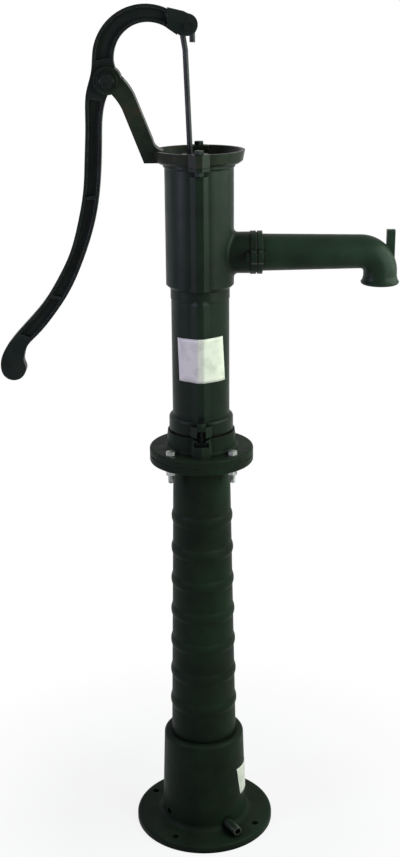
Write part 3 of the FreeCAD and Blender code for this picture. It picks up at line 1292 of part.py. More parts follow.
# Foot valve: leather flap with its tongue, a cast weight on top and a screw through both
def make_flap():
    rest = seat_level + cell("valve_rest_gap")
    sheet_size = cell("seat_leather")
    disc = cylinder("FlapDisc", cell("flap_radius"), sheet_size, 0, 0, rest)
    tongue = cell("flap_tongue")
    strap = block("FlapTongue", tongue, cell("flap_tongue_width"), sheet_size, -tongue / 2, 0, rest)
    bore = cylinder("FlapBore", cell("flap_screw") / 2, sheet_size, 0, 0, rest)
    keep(cut("Flap", fuse("FlapWhole", disc, strap), bore), "foot_valve_flap")
    top = rest + sheet_size
    body = new_body("foot_valve_weight")
    sketch = sketch_on(body, "XZ_Plane", "WeightProfile")
    radius = cell("weight_radius")
    height = cell("weight_height")
    closed_outline(sketch, [
        (cell("flap_screw") / 2, top), (radius, top), (radius, top + height * 0.4),
        (radius * 0.65, top + height), (cell("flap_screw") / 2, top + height)])
    revolve(body, sketch, "WeightCasting")
    keep(body, "foot_valve_weight")
    screw = cell("flap_screw") / 2
    washer_height = cell("flap_washer")
    nut_height = cell("flap_nut")
    washer = ring("FlapWasher", cell("weight_radius") * 0.7, screw, washer_height, 0, 0, rest - washer_height)
    keep(washer, "foot_valve_washer")
    below = washer_height + nut_height + 1
    shank = cylinder("FlapShank", screw, height + sheet_size + below, 0, 0, rest - below)
    head = hexagon("FlapHead", cell("flap_screw_flats"), cell("flap_screw_head"), 0, 0, top + height)
    keep(fuse("FlapScrew", shank, head), "foot_valve_screw")
    nut_block = hexagon("FlapNutBlock", cell("flap_screw_flats"), nut_height)
    nut_bore = cylinder("FlapNutBore", screw, nut_height)
    nut = place(cut("FlapNut", nut_block, nut_bore), 0, 0, rest - washer_height - nut_height)
    keep(nut, "foot_valve_nut")


make_foot()
make_drain_plug()
make_column()
make_flange_gasket()
make_flange_fasteners()
make_valve_base()
make_seat_leather()
make_barrel()
make_tie_fasteners()
make_cap()
make_cap_fasteners()
make_spout()
make_spout_fasteners()
make_fulcrum()
make_lever()
make_hook_pin()
make_rod()
make_rod_nuts()
make_plunger()
make_cup()
make_follower()
make_poppet()
make_flap()
doc.recompute()
failed = [item.Name for item in doc.Objects if "Invalid" in item.State or "Error" in item.State]
for item in SUBPARTS:
    shape = item.Shape
    if shape.isNull() or not shape.isValid() or not shape.Solids:
        failed.append(item.Label)
        continue
    box = shape.BoundBox
    print("%-18s solids %d volume %.0f  x %.1f %.1f y %.1f %.1f z %.1f %.1f" % (
        item.Label, len(shape.Solids), shape.Volume,
        box.XMin, box.XMax, box.YMin, box.YMax, box.ZMin, box.ZMax))
if failed:
    raise RuntimeError("these pieces failed, nothing written: %s" % failed)
for item in SUBPARTS:
    item.Shape.exportStep("parts/%s.step" % item.Label)
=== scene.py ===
import json
import math

import bmesh
import bpy
from mathutils import Matrix, Vector
from mathutils.bvhtree import BVHTree

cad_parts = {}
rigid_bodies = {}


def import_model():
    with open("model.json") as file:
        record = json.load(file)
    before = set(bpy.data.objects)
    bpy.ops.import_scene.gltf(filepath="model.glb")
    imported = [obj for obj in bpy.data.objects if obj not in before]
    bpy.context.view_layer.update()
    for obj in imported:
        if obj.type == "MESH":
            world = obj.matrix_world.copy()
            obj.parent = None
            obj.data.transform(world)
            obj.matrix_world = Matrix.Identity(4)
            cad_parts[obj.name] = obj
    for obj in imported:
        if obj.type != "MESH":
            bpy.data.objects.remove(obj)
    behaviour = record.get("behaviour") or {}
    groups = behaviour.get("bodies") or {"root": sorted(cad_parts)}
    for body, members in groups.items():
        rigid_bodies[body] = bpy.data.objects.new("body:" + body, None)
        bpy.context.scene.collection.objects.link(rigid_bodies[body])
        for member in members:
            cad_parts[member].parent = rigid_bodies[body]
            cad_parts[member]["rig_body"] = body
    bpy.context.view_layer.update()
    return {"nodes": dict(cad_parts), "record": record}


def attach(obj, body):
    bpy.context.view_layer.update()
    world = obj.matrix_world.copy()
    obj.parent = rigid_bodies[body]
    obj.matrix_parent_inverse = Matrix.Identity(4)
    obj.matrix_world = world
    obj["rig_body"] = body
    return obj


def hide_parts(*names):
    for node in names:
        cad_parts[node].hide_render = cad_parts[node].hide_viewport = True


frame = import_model()
nodes = frame["nodes"]
mm = 0.001
print("frame loaded:", len(nodes), "nodes")


# helpers for colours, node trees and scales
def linearColour(hexText):
    # sRGB hex to linear by the standard's curve, with alpha
    values = [int(hexText[i:i + 2], 16) / 255 for i in (1, 3, 5)]
    return tuple(v / 12.92 if v <= 0.04045 else ((v + 0.055) / 1.055) ** 2.4 for v in values) + (1.0,)


def addNode(tree, kind, settings=None, **sockets):
    # one node with its settings and links; a socket goes by its name without spaces, or by in0, in1 ...
    # A Mix node of colours takes them at in6 and in7 and gives the result at outputs[2].
    node = tree.nodes.new(kind)
    for name, value in (settings or {}).items():
        setattr(node, name, value)
    byName = {s.name.replace(" ", ""): s for s in reversed(list(node.inputs)) if s.enabled}
    for name, value in sockets.items():
        socket = node.inputs[int(name[2:])] if name[:2] == "in" and name[2:].isdigit() else byName[name]
        if isinstance(value, bpy.types.NodeSocket):
            tree.links.new(value, socket)
        else:
            socket.default_value = value
    return node


def newMaterial(name):
    material = bpy.data.materials.new(name)
    material.use_nodes = True
    material.node_tree.nodes.clear()
    return material, material.node_tree


def perMetre(sizeMm):
    # scale of a noise whose features are about this many millimetres
    return 1000.0 / sizeMm


# Moulding sand has grains of about 0.3 mm, too fine to show where a pixel is a millimetre and a half, so the
# grain is drawn about four times as coarse, and coarser still on the fasteners.
# the "edge" colour is rubbed paint and painted glint on the edges; the "grime" colour is painted shade, the
# near black that the corners are darkened towards
enamelLook = {"deep": "#111a14", "thin": "#18241b", "edge": "#3b463d", "grime": "#060807", "rust": "#2a211a",
              "roughness": 0.38, "specular": 0.065, "ior": 1.5, "driftMm": 70, "blotchMm": 14,
              "sandGrainMm": 1.3, "grainDepthMm": 0.25, "grainStrength": 0.4, "unevenMm": 1.2,
              "unevenStrength": 0.5, "edgeRoundMm": 1.6, "edgeWear": 0.5, "grimeReachMm": 10,
              "grimeShare": 0.85, "rustMm": 26, "rustShare": 0.15}
# the lever is handled: its paint is greyer, rubbed along the ribs with painted glints on the edges, and
# browned by rust in places
leverLook = dict(enamelLook, deep="#121816", thin="#1c211e", edge="#474b49", driftMm=24, blotchMm=7,
                 edgeWear=0.9, rustShare=0.35, grimeShare=0.6)
# the cap stands in the wet: its paint is the brownest and most stained
capLook = dict(enamelLook, deep="#151b15", thin="#20271e", rust="#352b1f", driftMm=30, rustShare=0.6)
# the spout's paint is a little lighter, and that of foot, column and valve base more matt
spoutLook = dict(enamelLook, deep="#152118", thin="#202f23", edgeWear=0.9)
standLook = dict(enamelLook, deep="#141b15", thin="#1a261b", roughness=0.45, specular=0.03)
# the drain stub is glossier than the foot that it stands in
drainLook = dict(standLook, roughness=0.3, specular=0.35)
# fasteners are painted over in place, and those at the lever's pivots are black with grease, with painted
# glints on their edges
fastenerLook = dict(enamelLook, edgeRoundMm=0.5, sandGrainMm=3, grainDepthMm=0.1, driftMm=20, grimeReachMm=4)
fulcrumLook = dict(fastenerLook, deep="#101412", thin="#1b1f1c", roughness=0.3, specular=0.08, edgeWear=1.0)


def sandCastEnamel(name, look):
    # Grey iron cast in green sand, brushed or dipped in dark green enamel. The sand leaves a fine grain under
    # the paint, the dip leaves a slow unevenness, and the paint is thin, rubbed and a little lighter on the
    # edges, with painted glints there. Painted shade darkens the corners, and rust bleeds through in faint
    # brown patches.
    material, tree = newMaterial(name)
    point = addNode(tree, "ShaderNodeTexCoord").outputs["Object"]
    drift = addNode(tree, "ShaderNodeTexNoise", Vector=point, Scale=perMetre(look["driftMm"]), Detail=3.0,
                    Roughness=0.55)
    blotch = addNode(tree, "ShaderNodeTexNoise", Vector=point, Scale=perMetre(look["blotchMm"]), Detail=4.0,
                     Roughness=0.6)
    grain = addNode(tree, "ShaderNodeTexNoise", Vector=point, Scale=perMetre(look["sandGrainMm"]), Detail=2.0,
                    Roughness=0.65)
    bleed = addNode(tree, "ShaderNodeTexNoise", Vector=point, Scale=perMetre(look["rustMm"]), Detail=5.0,
                    Roughness=0.7)

    # paint, thick and thin
    thinning = addNode(tree, "ShaderNodeMapRange", Value=drift.outputs["Fac"], FromMin=0.35, FromMax=0.65)
    colour = addNode(tree, "ShaderNodeMix", {"data_type": "RGBA"}, Factor=thinning.outputs["Result"],
                     in6=linearColour(look["deep"]), in7=linearColour(look["thin"]))

    # rubbed edges, lighter as worn paint and as painted glints, found where the rounded normal leaves the
    # flat one
    rounded = addNode(tree, "ShaderNodeBevel", {"samples": 6}, Radius=look["edgeRoundMm"] * mm)
    flat = addNode(tree, "ShaderNodeNewGeometry")
    across = addNode(tree, "ShaderNodeVectorMath", {"operation": "DOT_PRODUCT"}, in0=rounded.outputs[0],
                     in1=flat.outputs["Normal"])
    edge = addNode(tree, "ShaderNodeMapRange", Value=across.outputs["Value"], FromMin=0.995, FromMax=0.90)
    rubbed = addNode(tree, "ShaderNodeMapRange", Value=blotch.outputs["Fac"], FromMin=0.45, FromMax=0.62)
    wornAndGlinting = addNode(tree, "ShaderNodeMath", {"operation": "MULTIPLY"}, in0=edge.outputs["Result"],
                   in1=rubbed.outputs["Result"])
    wearAndGlintShare = addNode(tree, "ShaderNodeMath", {"operation": "MULTIPLY"}, in0=wornAndGlinting.outputs[0],
                       in1=look["edgeWear"])
    paint = addNode(tree, "ShaderNodeMix", {"data_type": "RGBA"}, Factor=wearAndGlintShare.outputs[0],
                    in6=colour.outputs[2], in7=linearColour(look["edge"]))

    # rust that bleeds through, and painted shade that darkens the corners, found by ambient occlusion
    stain = addNode(tree, "ShaderNodeMapRange", Value=bleed.outputs["Fac"], FromMin=0.52, FromMax=0.68,
                    ToMax=look["rustShare"])
    rusted = addNode(tree, "ShaderNodeMix", {"data_type": "RGBA"}, Factor=stain.outputs["Result"],
                     in6=paint.outputs[2], in7=linearColour(look["rust"]))
    corner = addNode(tree, "ShaderNodeAmbientOcclusion", {"samples": 6}, Distance=look["grimeReachMm"] * mm)
    closed = addNode(tree, "ShaderNodeMapRange", Value=corner.outputs["AO"], FromMin=0.94, FromMax=0.5,
                     ToMax=look["grimeShare"])
    shadedInCorners = addNode(tree, "ShaderNodeMix", {"data_type": "RGBA"}, Factor=closed.outputs["Result"],
                     in6=rusted.outputs[2], in7=linearColour(look["grime"]))

    # gloss, and the surface under it
    gloss = addNode(tree, "ShaderNodeMapRange", Value=blotch.outputs["Fac"], FromMin=0.3, FromMax=0.7,
                    ToMin=look["roughness"] - 0.06, ToMax=look["roughness"] + 0.08)
    slow = addNode(tree, "ShaderNodeBump", Strength=look["unevenStrength"], Distance=look["unevenMm"] * mm,
                   Height=drift.outputs["Fac"], Normal=rounded.outputs[0])
    fine = addNode(tree, "ShaderNodeBump", Strength=look["grainStrength"], Distance=look["grainDepthMm"] * mm,
                   Height=grain.outputs["Fac"], Normal=slow.outputs[0])
    shader = addNode(tree, "ShaderNodeBsdfPrincipled", BaseColor=shadedInCorners.outputs[2],
                     Roughness=gloss.outputs["Result"], Normal=fine.outputs[0], IOR=look["ior"])
    shader.inputs["Specular IOR Level"].default_value = look["specular"]
    addNode(tree, "ShaderNodeOutputMaterial", in0=shader.outputs[0])
    return material


# Tool and die lines are 0.1 to 0.3 mm apart, too fine to show, so they are drawn about 1 mm apart.
metalLook = {"metallic": 1.0, "specular": 0.5, "edgeRoundMm": 0.3, "lineStrength": 0.5}
# zinc has gone dull and grey in the open
zincLook = dict(metalLook, bright="#a3a5a2", dull="#6f716e", roughness=0.42, lineMm=1.5,
                lineStretch=(1, 1, 0.3), lineDepthMm=0.03, blotchMm=4)
# the rod's black oxide hides the metal under it, so it isn't metallic; the tie bolts are oiled and drawn near
# black, as painted shade in the lug's dark window
rodLook = dict(metalLook, bright="#27282a", dull="#111213", roughness=0.45, metallic=0.0, specular=0.15,
               lineMm=1.2, lineStretch=(1, 1, 0.02), lineDepthMm=0.05, blotchMm=22)
tieBoltSteelAndShadeLook = dict(rodLook, bright="#111212", dull="#090a0a", roughness=0.6, specular=0.05, blotchMm=6)
# turned grey iron and brass of plunger and valves, with the tool's rings
ironLook = dict(metalLook, bright="#6b6762", dull="#45413c", roughness=0.5, metallic=0.9, lineMm=1.0,
                lineStretch=(0.15, 0.15, 1), lineDepthMm=0.06, blotchMm=9)
brassLook = dict(metalLook, bright="#c9a355", dull="#8f6f36", roughness=0.34, lineMm=0.8,
                 lineStretch=(0.15, 0.15, 1), lineDepthMm=0.03, blotchMm=8)


def workedMetal(name, look):
    # Turned, drawn or plated metal: the tool or the die leaves lines along one axis, and handling leaves
    # blotches.
    material, tree = newMaterial(name)
    point = addNode(tree, "ShaderNodeTexCoord").outputs["Object"]
    stretched = addNode(tree, "ShaderNodeMapping", Vector=point, Scale=look["lineStretch"])
    lines = addNode(tree, "ShaderNodeTexNoise", Vector=stretched.outputs[0], Scale=perMetre(look["lineMm"]),
                    Detail=3.0, Roughness=0.6)
    blotch = addNode(tree, "ShaderNodeTexNoise", Vector=point, Scale=perMetre(look["blotchMm"]), Detail=4.0,
                     Roughness=0.6)
    share = addNode(tree, "ShaderNodeMapRange", Value=blotch.outputs["Fac"], FromMin=0.38, FromMax=0.66)
    colour = addNode(tree, "ShaderNodeMix", {"data_type": "RGBA"}, Factor=share.outputs["Result"],
                     in6=linearColour(look["bright"]), in7=linearColour(look["dull"]))
    gloss = addNode(tree, "ShaderNodeMapRange", Value=lines.outputs["Fac"], FromMin=0.3, FromMax=0.7,
                    ToMin=look["roughness"] - 0.08, ToMax=look["roughness"] + 0.1)
    rounded = addNode(tree, "ShaderNodeBevel", {"samples": 4}, Radius=look["edgeRoundMm"] * mm)
    bump = addNode(tree, "ShaderNodeBump", Strength=look["lineStrength"], Distance=look["lineDepthMm"] * mm,
                   Height=lines.outputs["Fac"], Normal=rounded.outputs[0])
    shader = addNode(tree, "ShaderNodeBsdfPrincipled", BaseColor=colour.outputs[2],
                     Roughness=gloss.outputs["Result"], Normal=bump.outputs[0], Metallic=look["metallic"])
    shader.inputs["Specular IOR Level"].default_value = look["specular"]
    addNode(tree, "ShaderNodeOutputMaterial", in0=shader.outputs[0])
    return material


leatherLook = {"oiled": "#2b1a10", "dry": "#53371f", "grainMm": 1.2, "grainDepthMm": 0.2,
               "grainStrength": 0.5, "soakMm": 18, "glossiest": 0.45, "dullest": 0.7, "specular": 0.3}
# the leather between valve base and barrel is squeezed, wet and nearly black
seatLook = dict(leatherLook, oiled="#0a0807", dry="#14100d", specular=0.03)


def oiledLeather(name, look):
    # Vegetable tanned leather soaked in tallow: brown, blotched darker by the oil, with a cell grain that is
    # drawn coarser than the real half millimetre, so that it shows.
    material, tree = newMaterial(name)
    point = addNode(tree, "ShaderNodeTexCoord").outputs["Object"]
    cells = addNode(tree, "ShaderNodeTexVoronoi", Vector=point, Scale=perMetre(look["grainMm"]))
    soak = addNode(tree, "ShaderNodeTexNoise", Vector=point, Scale=perMetre(look["soakMm"]), Detail=4.0)
    colour = addNode(tree, "ShaderNodeMix", {"data_type": "RGBA"}, Factor=soak.outputs["Fac"],
                     in6=linearColour(look["oiled"]), in7=linearColour(look["dry"]))
    bump = addNode(tree, "ShaderNodeBump", Strength=look["grainStrength"], Distance=look["grainDepthMm"] * mm,
                   Height=cells.outputs["Distance"])
    gloss = addNode(tree, "ShaderNodeMapRange", Value=soak.outputs["Fac"], ToMin=look["glossiest"],
                    ToMax=look["dullest"])
    shader = addNode(tree, "ShaderNodeBsdfPrincipled", BaseColor=colour.outputs[2],
                     Roughness=gloss.outputs["Result"], Normal=bump.outputs[0])
    shader.inputs["Specular IOR Level"].default_value = look["specular"]
    addNode(tree, "ShaderNodeOutputMaterial", in0=shader.outputs[0])
    return material


rubberLook = {"black": "#17181a", "dusty": "#3c3d3e", "roughness": 0.75, "clothMm": 0.8, "clothDepthMm": 0.1,
              "clothStrength": 0.4, "talcMm": 12, "talcShare": 0.5}


def sheetRubber(name, look):
    # Black gasket rubber with the impression of a cloth, drawn coarser than its threads, and a dusting of
    # talc.
    material, tree = newMaterial(name)
    point = addNode(tree, "ShaderNodeTexCoord").outputs["Object"]
    cloth = addNode(tree, "ShaderNodeTexNoise", Vector=point, Scale=perMetre(look["clothMm"]), Detail=2.0)
    talc = addNode(tree, "ShaderNodeTexNoise", Vector=point, Scale=perMetre(look["talcMm"]), Detail=5.0)
    dust = addNode(tree, "ShaderNodeMapRange", Value=talc.outputs["Fac"], FromMin=0.5, FromMax=0.75,
                   ToMax=look["talcShare"])
    colour = addNode(tree, "ShaderNodeMix", {"data_type": "RGBA"}, Factor=dust.outputs["Result"],
                     in6=linearColour(look["black"]), in7=linearColour(look["dusty"]))
    bump = addNode(tree, "ShaderNodeBump", Strength=look["clothStrength"], Distance=look["clothDepthMm"] * mm,
                   Height=cloth.outputs["Fac"])
    shader = addNode(tree, "ShaderNodeBsdfPrincipled", BaseColor=colour.outputs[2],
                     Roughness=look["roughness"], Normal=bump.outputs[0])
    addNode(tree, "ShaderNodeOutputMaterial", in0=shader.outputs[0])
    return material


vinylLook = {"film": "#cfccc3", "grubby": "#b3b2a8", "roughness": 0.4, "creaseMm": 9, "creaseDepthMm": 0.25,
             "creaseStrength": 0.4, "grimeMm": 16}


def vinylLabel(name, look):
    # White self adhesive vinyl: faintly creased over the casting, slightly glossy, a little grubby.
    material, tree = newMaterial(name)
    point = addNode(tree, "ShaderNodeTexCoord").outputs["Object"]
    crease = addNode(tree, "ShaderNodeTexNoise", Vector=point, Scale=perMetre(look["creaseMm"]), Detail=3.0)
    grime = addNode(tree, "ShaderNodeTexNoise", Vector=point, Scale=perMetre(look["grimeMm"]), Detail=5.0)
    share = addNode(tree, "ShaderNodeMapRange", Value=grime.outputs["Fac"], FromMin=0.45, FromMax=0.75)
    colour = addNode(tree, "ShaderNodeMix", {"data_type": "RGBA"}, Factor=share.outputs["Result"],
                     in6=linearColour(look["film"]), in7=linearColour(look["grubby"]))
    bump = addNode(tree, "ShaderNodeBump", Strength=look["creaseStrength"],
                   Distance=look["creaseDepthMm"] * mm, Height=crease.outputs["Fac"])
    shader = addNode(tree, "ShaderNodeBsdfPrincipled", BaseColor=colour.outputs[2],
                     Roughness=look["roughness"], Normal=bump.outputs[0])
    addNode(tree, "ShaderNodeOutputMaterial", in0=shader.outputs[0])
    return material


# one finish for each material slot of the record, and some nodes' own
finishes = {
    "green_paint": sandCastEnamel("sandCastGreenEnamel", enamelLook),
    "painted_steel": sandCastEnamel("enamelOverFasteners", fastenerLook),
    "zinc_steel": workedMetal("dullZincPlate", zincLook),
    "rod_steel": workedMetal("darkDrawnSteel", rodLook),
    "bare_iron": workedMetal("turnedGreyIron", ironLook),
    "brass": workedMetal("turnedBrass", brassLook),
    "leather": oiledLeather("oiledPumpLeather", leatherLook),
    "gasket_rubber": sheetRubber("blackSheetRubber", rubberLook),
}
ownFinish = {
    "cap": sandCastEnamel("weatheredCastEnamel", capLook),
    "spout": sandCastEnamel("freshCastEnamel", spoutLook),
    "foot": sandCastEnamel("mattCastEnamel", standLook),
    "seat_leather": oiledLeather("soakedSeatLeather", seatLook),
    "lever": sandCastEnamel("handledCastEnamel", leverLook),
    "drain_plug": sandCastEnamel("glossyCastEnamel", drainLook),
    "fulcrum_bolt": sandCastEnamel("greasyFastenerEnamel", fulcrumLook),
    # tie bolts: oiled steel drawn near black, as painted shade in the lug's window
    "tie_bolts": workedMetal("blackOiledSteelAndShade", tieBoltSteelAndShadeLook),
}
ownFinish["stand_column"] = ownFinish["valve_base"] = ownFinish["foot"]
ownFinish["fulcrum_nut"] = ownFinish["fulcrum_washers"] = ownFinish["hook_pin"] = ownFinish["fulcrum_bolt"]
slotOf = {part["node"]: part["material_slot"] for part in frame["record"]["subparts"]}
finishOf = {name: ownFinish.get(name, finishes[slotOf[name]]) for name in nodes}
for name, node in nodes.items():
    node.data.materials.clear()
    node.data.materials.append(finishOf[name])
labelFilm = vinylLabel("whiteVinylFilm", vinylLook)
print("materials on", len(nodes), "nodes")


def addPiece(name, mesh, material, body, creaseDegrees=32):
    bmesh.ops.recalc_face_normals(mesh, faces=mesh.faces)
    data = bpy.data.meshes.new(name)
    mesh.to_mesh(data)
    mesh.free()
    data.shade_smooth()
    data.set_sharp_from_angle(angle=math.radians(creaseDegrees))
    data.materials.append(material)
    piece = bpy.data.objects.new(name, data)
    bpy.context.scene.collection.objects.link(piece)
    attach(piece, body)
    return piece


# fasteners with their threads and chamfers; they stand where the plain ones of the frame do
fastenerForm = {
    "sides": 48,  # points round a thread, head or nut
    "threadSteps": 8,  # rings to one turn of thread
    "grooveDepth": 0.61,  # of the pitch, as in a metric thread
    "grooveShare": 0.9,  # of that depth, as a rolled thread has blunt roots
    "leadLength": 0.8,  # of the pitch, the cone at a bolt's tip
    "leadDepth": 0.6,  # of the pitch, there and at a nut's mouths
    "runOut": 0.3,  # of the pitch, from the thread to the plain shank
    "faceShare": 0.96,  # round face of a head or nut, to its width across flats
    "faceSlope": math.tan(math.radians(30)),
    "nutClearance": 0.02 * mm,
}
smallFastener = {"radius": 4 * mm, "pitch": 1.25 * mm, "flats": 13 * mm, "head": 5.3 * mm, "nut": 6.5 * mm}
bigFastener = {"radius": 6 * mm, "pitch": 1.75 * mm, "flats": 19 * mm, "head": 7.5 * mm, "nut": 10 * mm}


def loft(mesh, rings, capped=True):
    # faces between rings of as many points each; the first and last are capped, or else joined to each other
    loops = [[mesh.verts.new(p) for p in ring] for ring in rings]
    pairs = list(zip(loops, loops[1:]))
    if not capped:
        pairs.append((loops[-1], loops[0]))
    for low, high in pairs:
        for i in range(len(low)):
            j = (i + 1) % len(low)
            mesh.faces.new((low[i], low[j], high[j], high[i]))
    if capped:
        mesh.faces.new(list(reversed(loops[0])))
        mesh.faces.new(loops[-1])


def hexReach(flats, angle):
    # distance to a hexagon's side, in the direction of this angle, corners at 0, 60 ...
    sixth = math.pi / 3
    return flats / 2 / math.cos(angle % sixth - sixth / 2)


def ringOf(radiusAt, z):
    # level ring, or one whose height changes with the angle
    sides = fastenerForm["sides"]
    turns = [2 * math.pi * i / sides for i in range(sides)]
    return [(radiusAt(t) * math.cos(t), radiusAt(t) * math.sin(t), z(t) if callable(z) else z) for t in turns]


def hexRings(flats, low, high, bevelLow=True):
    # rings up a hexagon whose corners are turned off at the top, and at the bottom of a nut
    inner = flats / 2 * fastenerForm["faceShare"]
    slope = fastenerForm["faceSlope"]

    def reach(t):
        return hexReach(flats, t)

    if bevelLow:
        rings = [ringOf(lambda t: inner, low), ringOf(reach, lambda t: low + (reach(t) - inner) * slope)]
    else:
        rings = [ringOf(reach, low)]
    return rings + [ringOf(reach, lambda t: high - (reach(t) - inner) * slope), ringOf(lambda t: inner, high)]


def threadRings(radius, pitch, bottom, top):
    # helical V thread from bottom to top, with a coned end at the bottom
    form = fastenerForm
    count = int((top - bottom) / pitch * form["threadSteps"])
    rings = []
    for k in range(count + 1):
        z = bottom + (top - bottom) * k / count

        def radiusAt(t, z=z):
            phase = (z / pitch - t / (2 * math.pi)) % 1.0
            groove = pitch * form["grooveDepth"] * (1 - abs(2 * phase - 1)) * form["grooveShare"]
            lead = max(0.0, 1 - (z - bottom) / (pitch * form["leadLength"])) * pitch * form["leadDepth"]
            return radius - max(groove, lead)

        rings.append(ringOf(radiusAt, z))
    return rings


def settle(mesh, parts, place):
    # moves the parts to their place and adds them to the mesh
    bmesh.ops.transform(parts, matrix=place, verts=parts.verts)
    scratch = bpy.data.meshes.new("scratch")
    parts.to_mesh(scratch)
    parts.free()
    mesh.from_mesh(scratch)
    bpy.data.meshes.remove(scratch)


def boltMesh(mesh, size, length, thread, place):
    # head on the seat at z 0 and above, shank below it, thread at its end
    parts = bmesh.new()
    tip = -length
    threadTop = tip + thread
    shank = [ringOf(lambda t: size["radius"], threadTop + size["pitch"] * fastenerForm["runOut"]),
             ringOf(lambda t: size["radius"], 0.0)]
    loft(parts, threadRings(size["radius"], size["pitch"], tip, threadTop) + shank)
    loft(parts, hexRings(size["flats"], 0.0, size["head"], bevelLow=False))
    settle(mesh, parts, place)


def nutMesh(mesh, size, place):
    parts = bmesh.new()
    bore = size["radius"] + fastenerForm["nutClearance"]
    lead = size["pitch"] * fastenerForm["leadDepth"]
    inside = [ringOf(lambda t: bore + lead, size["nut"]), ringOf(lambda t: bore, size["nut"] - lead),
              ringOf(lambda t: bore, lead), ringOf(lambda t: bore + lead, 0.0)]
    loft(parts, hexRings(size["flats"], 0.0, size["nut"]) + inside, capped=False)
    settle(mesh, parts, place)


def solidBoxes(node, weld=1e-6):
    # box of each loose solid of a CAD node, in an order that doesn't change from run to run
    mesh = bmesh.new()
    mesh.from_mesh(nodes[node].data)
    bmesh.ops.remove_doubles(mesh, verts=mesh.verts, dist=weld)
    left = set(mesh.verts)
    boxes = []
    while left:
        queue = [left.pop()]
        group = list(queue)
        while queue:
            for edge in queue.pop().link_edges:
                for vert in edge.verts:
                    if vert in left:
                        left.remove(vert)
                        queue.append(vert)
                        group.append(vert)
        low = Vector([min(v.co[i] for v in group) for i in range(3)])
        high = Vector([max(v.co[i] for v in group) for i in range(3)])
        boxes.append((low, high))
    mesh.free()
    return sorted(boxes, key=lambda b: tuple(round(c, 4) for c in b[0]))


def axisFrame(origin, along, nearlyUpright=0.9):
    # matrix that stands local Z along the given direction
    along = Vector(along).normalized()
    side = Vector((0, 0, 1)) if abs(along.z) < nearlyUpright else Vector((1, 0, 0))
    x = side.cross(along).normalized()
    y = along.cross(x)
    matrix = Matrix((x, y, along)).transposed().to_4x4()
    matrix.translation = origin
    return matrix


def addFasteners(name, spec):
    # a bolt or nut for each solid of the node; a bolt has its head, and a nut its top, on the side of `along`
    node, size = spec["node"], spec["size"]
    direction = Vector(spec["along"])
    axis = max(range(3), key=lambda i: abs(direction[i]))
    mesh = bmesh.new()
    for low, high in solidBoxes(node):
        bottom, top = (low[axis], high[axis]) if direction[axis] > 0 else (high[axis], low[axis])
        seat = (low + high) / 2
        if "thread" in spec:
            seat[axis] = top - direction[axis] * size["head"]
            length = abs(high[axis] - low[axis]) - size["head"]
            boltMesh(mesh, size, length, spec["thread"], axisFrame(seat, direction))
        else:
            seat[axis] = bottom
            nutMesh(mesh, size, axisFrame(seat, direction))
    piece = addPiece(name, mesh, finishOf[node], nodes[node]["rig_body"])
    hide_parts(node)


toSky, toSpout, toViewer, toBack = (0, 0, 1), (1, 0, 0), (0, -1, 0), (0, 1, 0)
fasteners = {
    "flangeBoltsThreaded": {"node": "flange_bolts", "size": smallFastener, "along": toSky, "thread": 24 * mm},
    "flangeNutsChamfered": {"node": "flange_nuts", "size": smallFastener, "along": toSky},
    "capBoltsThreaded": {"node": "cap_bolts", "size": smallFastener, "along": toSky, "thread": 16 * mm},
    "capNutsChamfered": {"node": "cap_nuts", "size": smallFastener, "along": toSky},
    "tieNutsChamfered": {"node": "tie_nuts", "size": smallFastener, "along": toSky},
    "spoutBoltsThreaded": {"node": "spout_bolts", "size": smallFastener, "along": toSpout,
                           "thread": 14 * mm},
    "spoutNutsChamfered": {"node": "spout_nuts", "size": smallFastener, "along": toSpout},
    "fulcrumBoltThreaded": {"node": "fulcrum_bolt", "size": bigFastener, "along": toViewer,
                            "thread": 18 * mm},
    "fulcrumNutChamfered": {"node": "fulcrum_nut", "size": bigFastener, "along": toBack},
}
for name, spec in fasteners.items():
    addFasteners(name, spec)
print("fasteners threaded")


# bare labels of vinyl film, wrapped on the castings
filmForm = {"lift": 0.25 * mm, "thickness": 0.15 * mm, "columns": 56, "rows": 14, "creaseDegrees": 60}
labels = {
    # corners as turn from the front in degrees and height in mm: top left, top right, low right, low left
    "barrelLabel": {"node": "barrel", "bridges": True,
                    "corners": ((-51.0, 833.5), (48.5, 835.6), (55.5, 767.6), (-46.8, 768.4))},
    "footLabel": {"node": "foot", "bridges": False,
                  "corners": ((53.0, 109.0), (103, 104), (110, 54), (60.0, 58.0))},
}


def surfaceReach(tree, angle, z, farOut=0.3):
    # how far the casting's outside lies from the axis in this direction, met from far out
    direction = Vector((math.sin(angle), -math.cos(angle), 0))
    hit = tree.ray_cast(direction * farOut + Vector((0, 0, z)), -direction)[0]
    return math.hypot(hit.x, hit.y)


def stretchedFilm(points):
    # outer hull of a row of plan points, so that the film bridges the hollows beside a rib
    hull = []
    for p in points:
        while len(hull) > 1:
            a, b = hull[-2], hull[-1]
            turn = (b[0] - a[0]) * (p[1] - a[1]) - (b[1] - a[1]) * (p[0] - a[0])
            if turn > 0:
                break
            hull.pop()
        hull.append(p)
    return hull


def bridgedReach(hull, angle, reach, slack=1e-6, parallel=1e-9):
    # the reach in this direction once the film is stretched over the hull
    ray = (math.sin(angle), -math.cos(angle))
    for p, q in zip(hull, hull[1:]):
        run = (q[0] - p[0], q[1] - p[1])
        side = ray[0] * run[1] - ray[1] * run[0]
        if abs(side) < parallel:
            continue
        crossing = (p[0] * run[1] - p[1] * run[0]) / side
        share = (ray[0] * crossing - p[0]) * run[0] + (ray[1] * crossing - p[1]) * run[1]
        share /= run[0] ** 2 + run[1] ** 2
        if -slack <= share <= 1 + slack:
            reach = max(reach, crossing)
    return reach


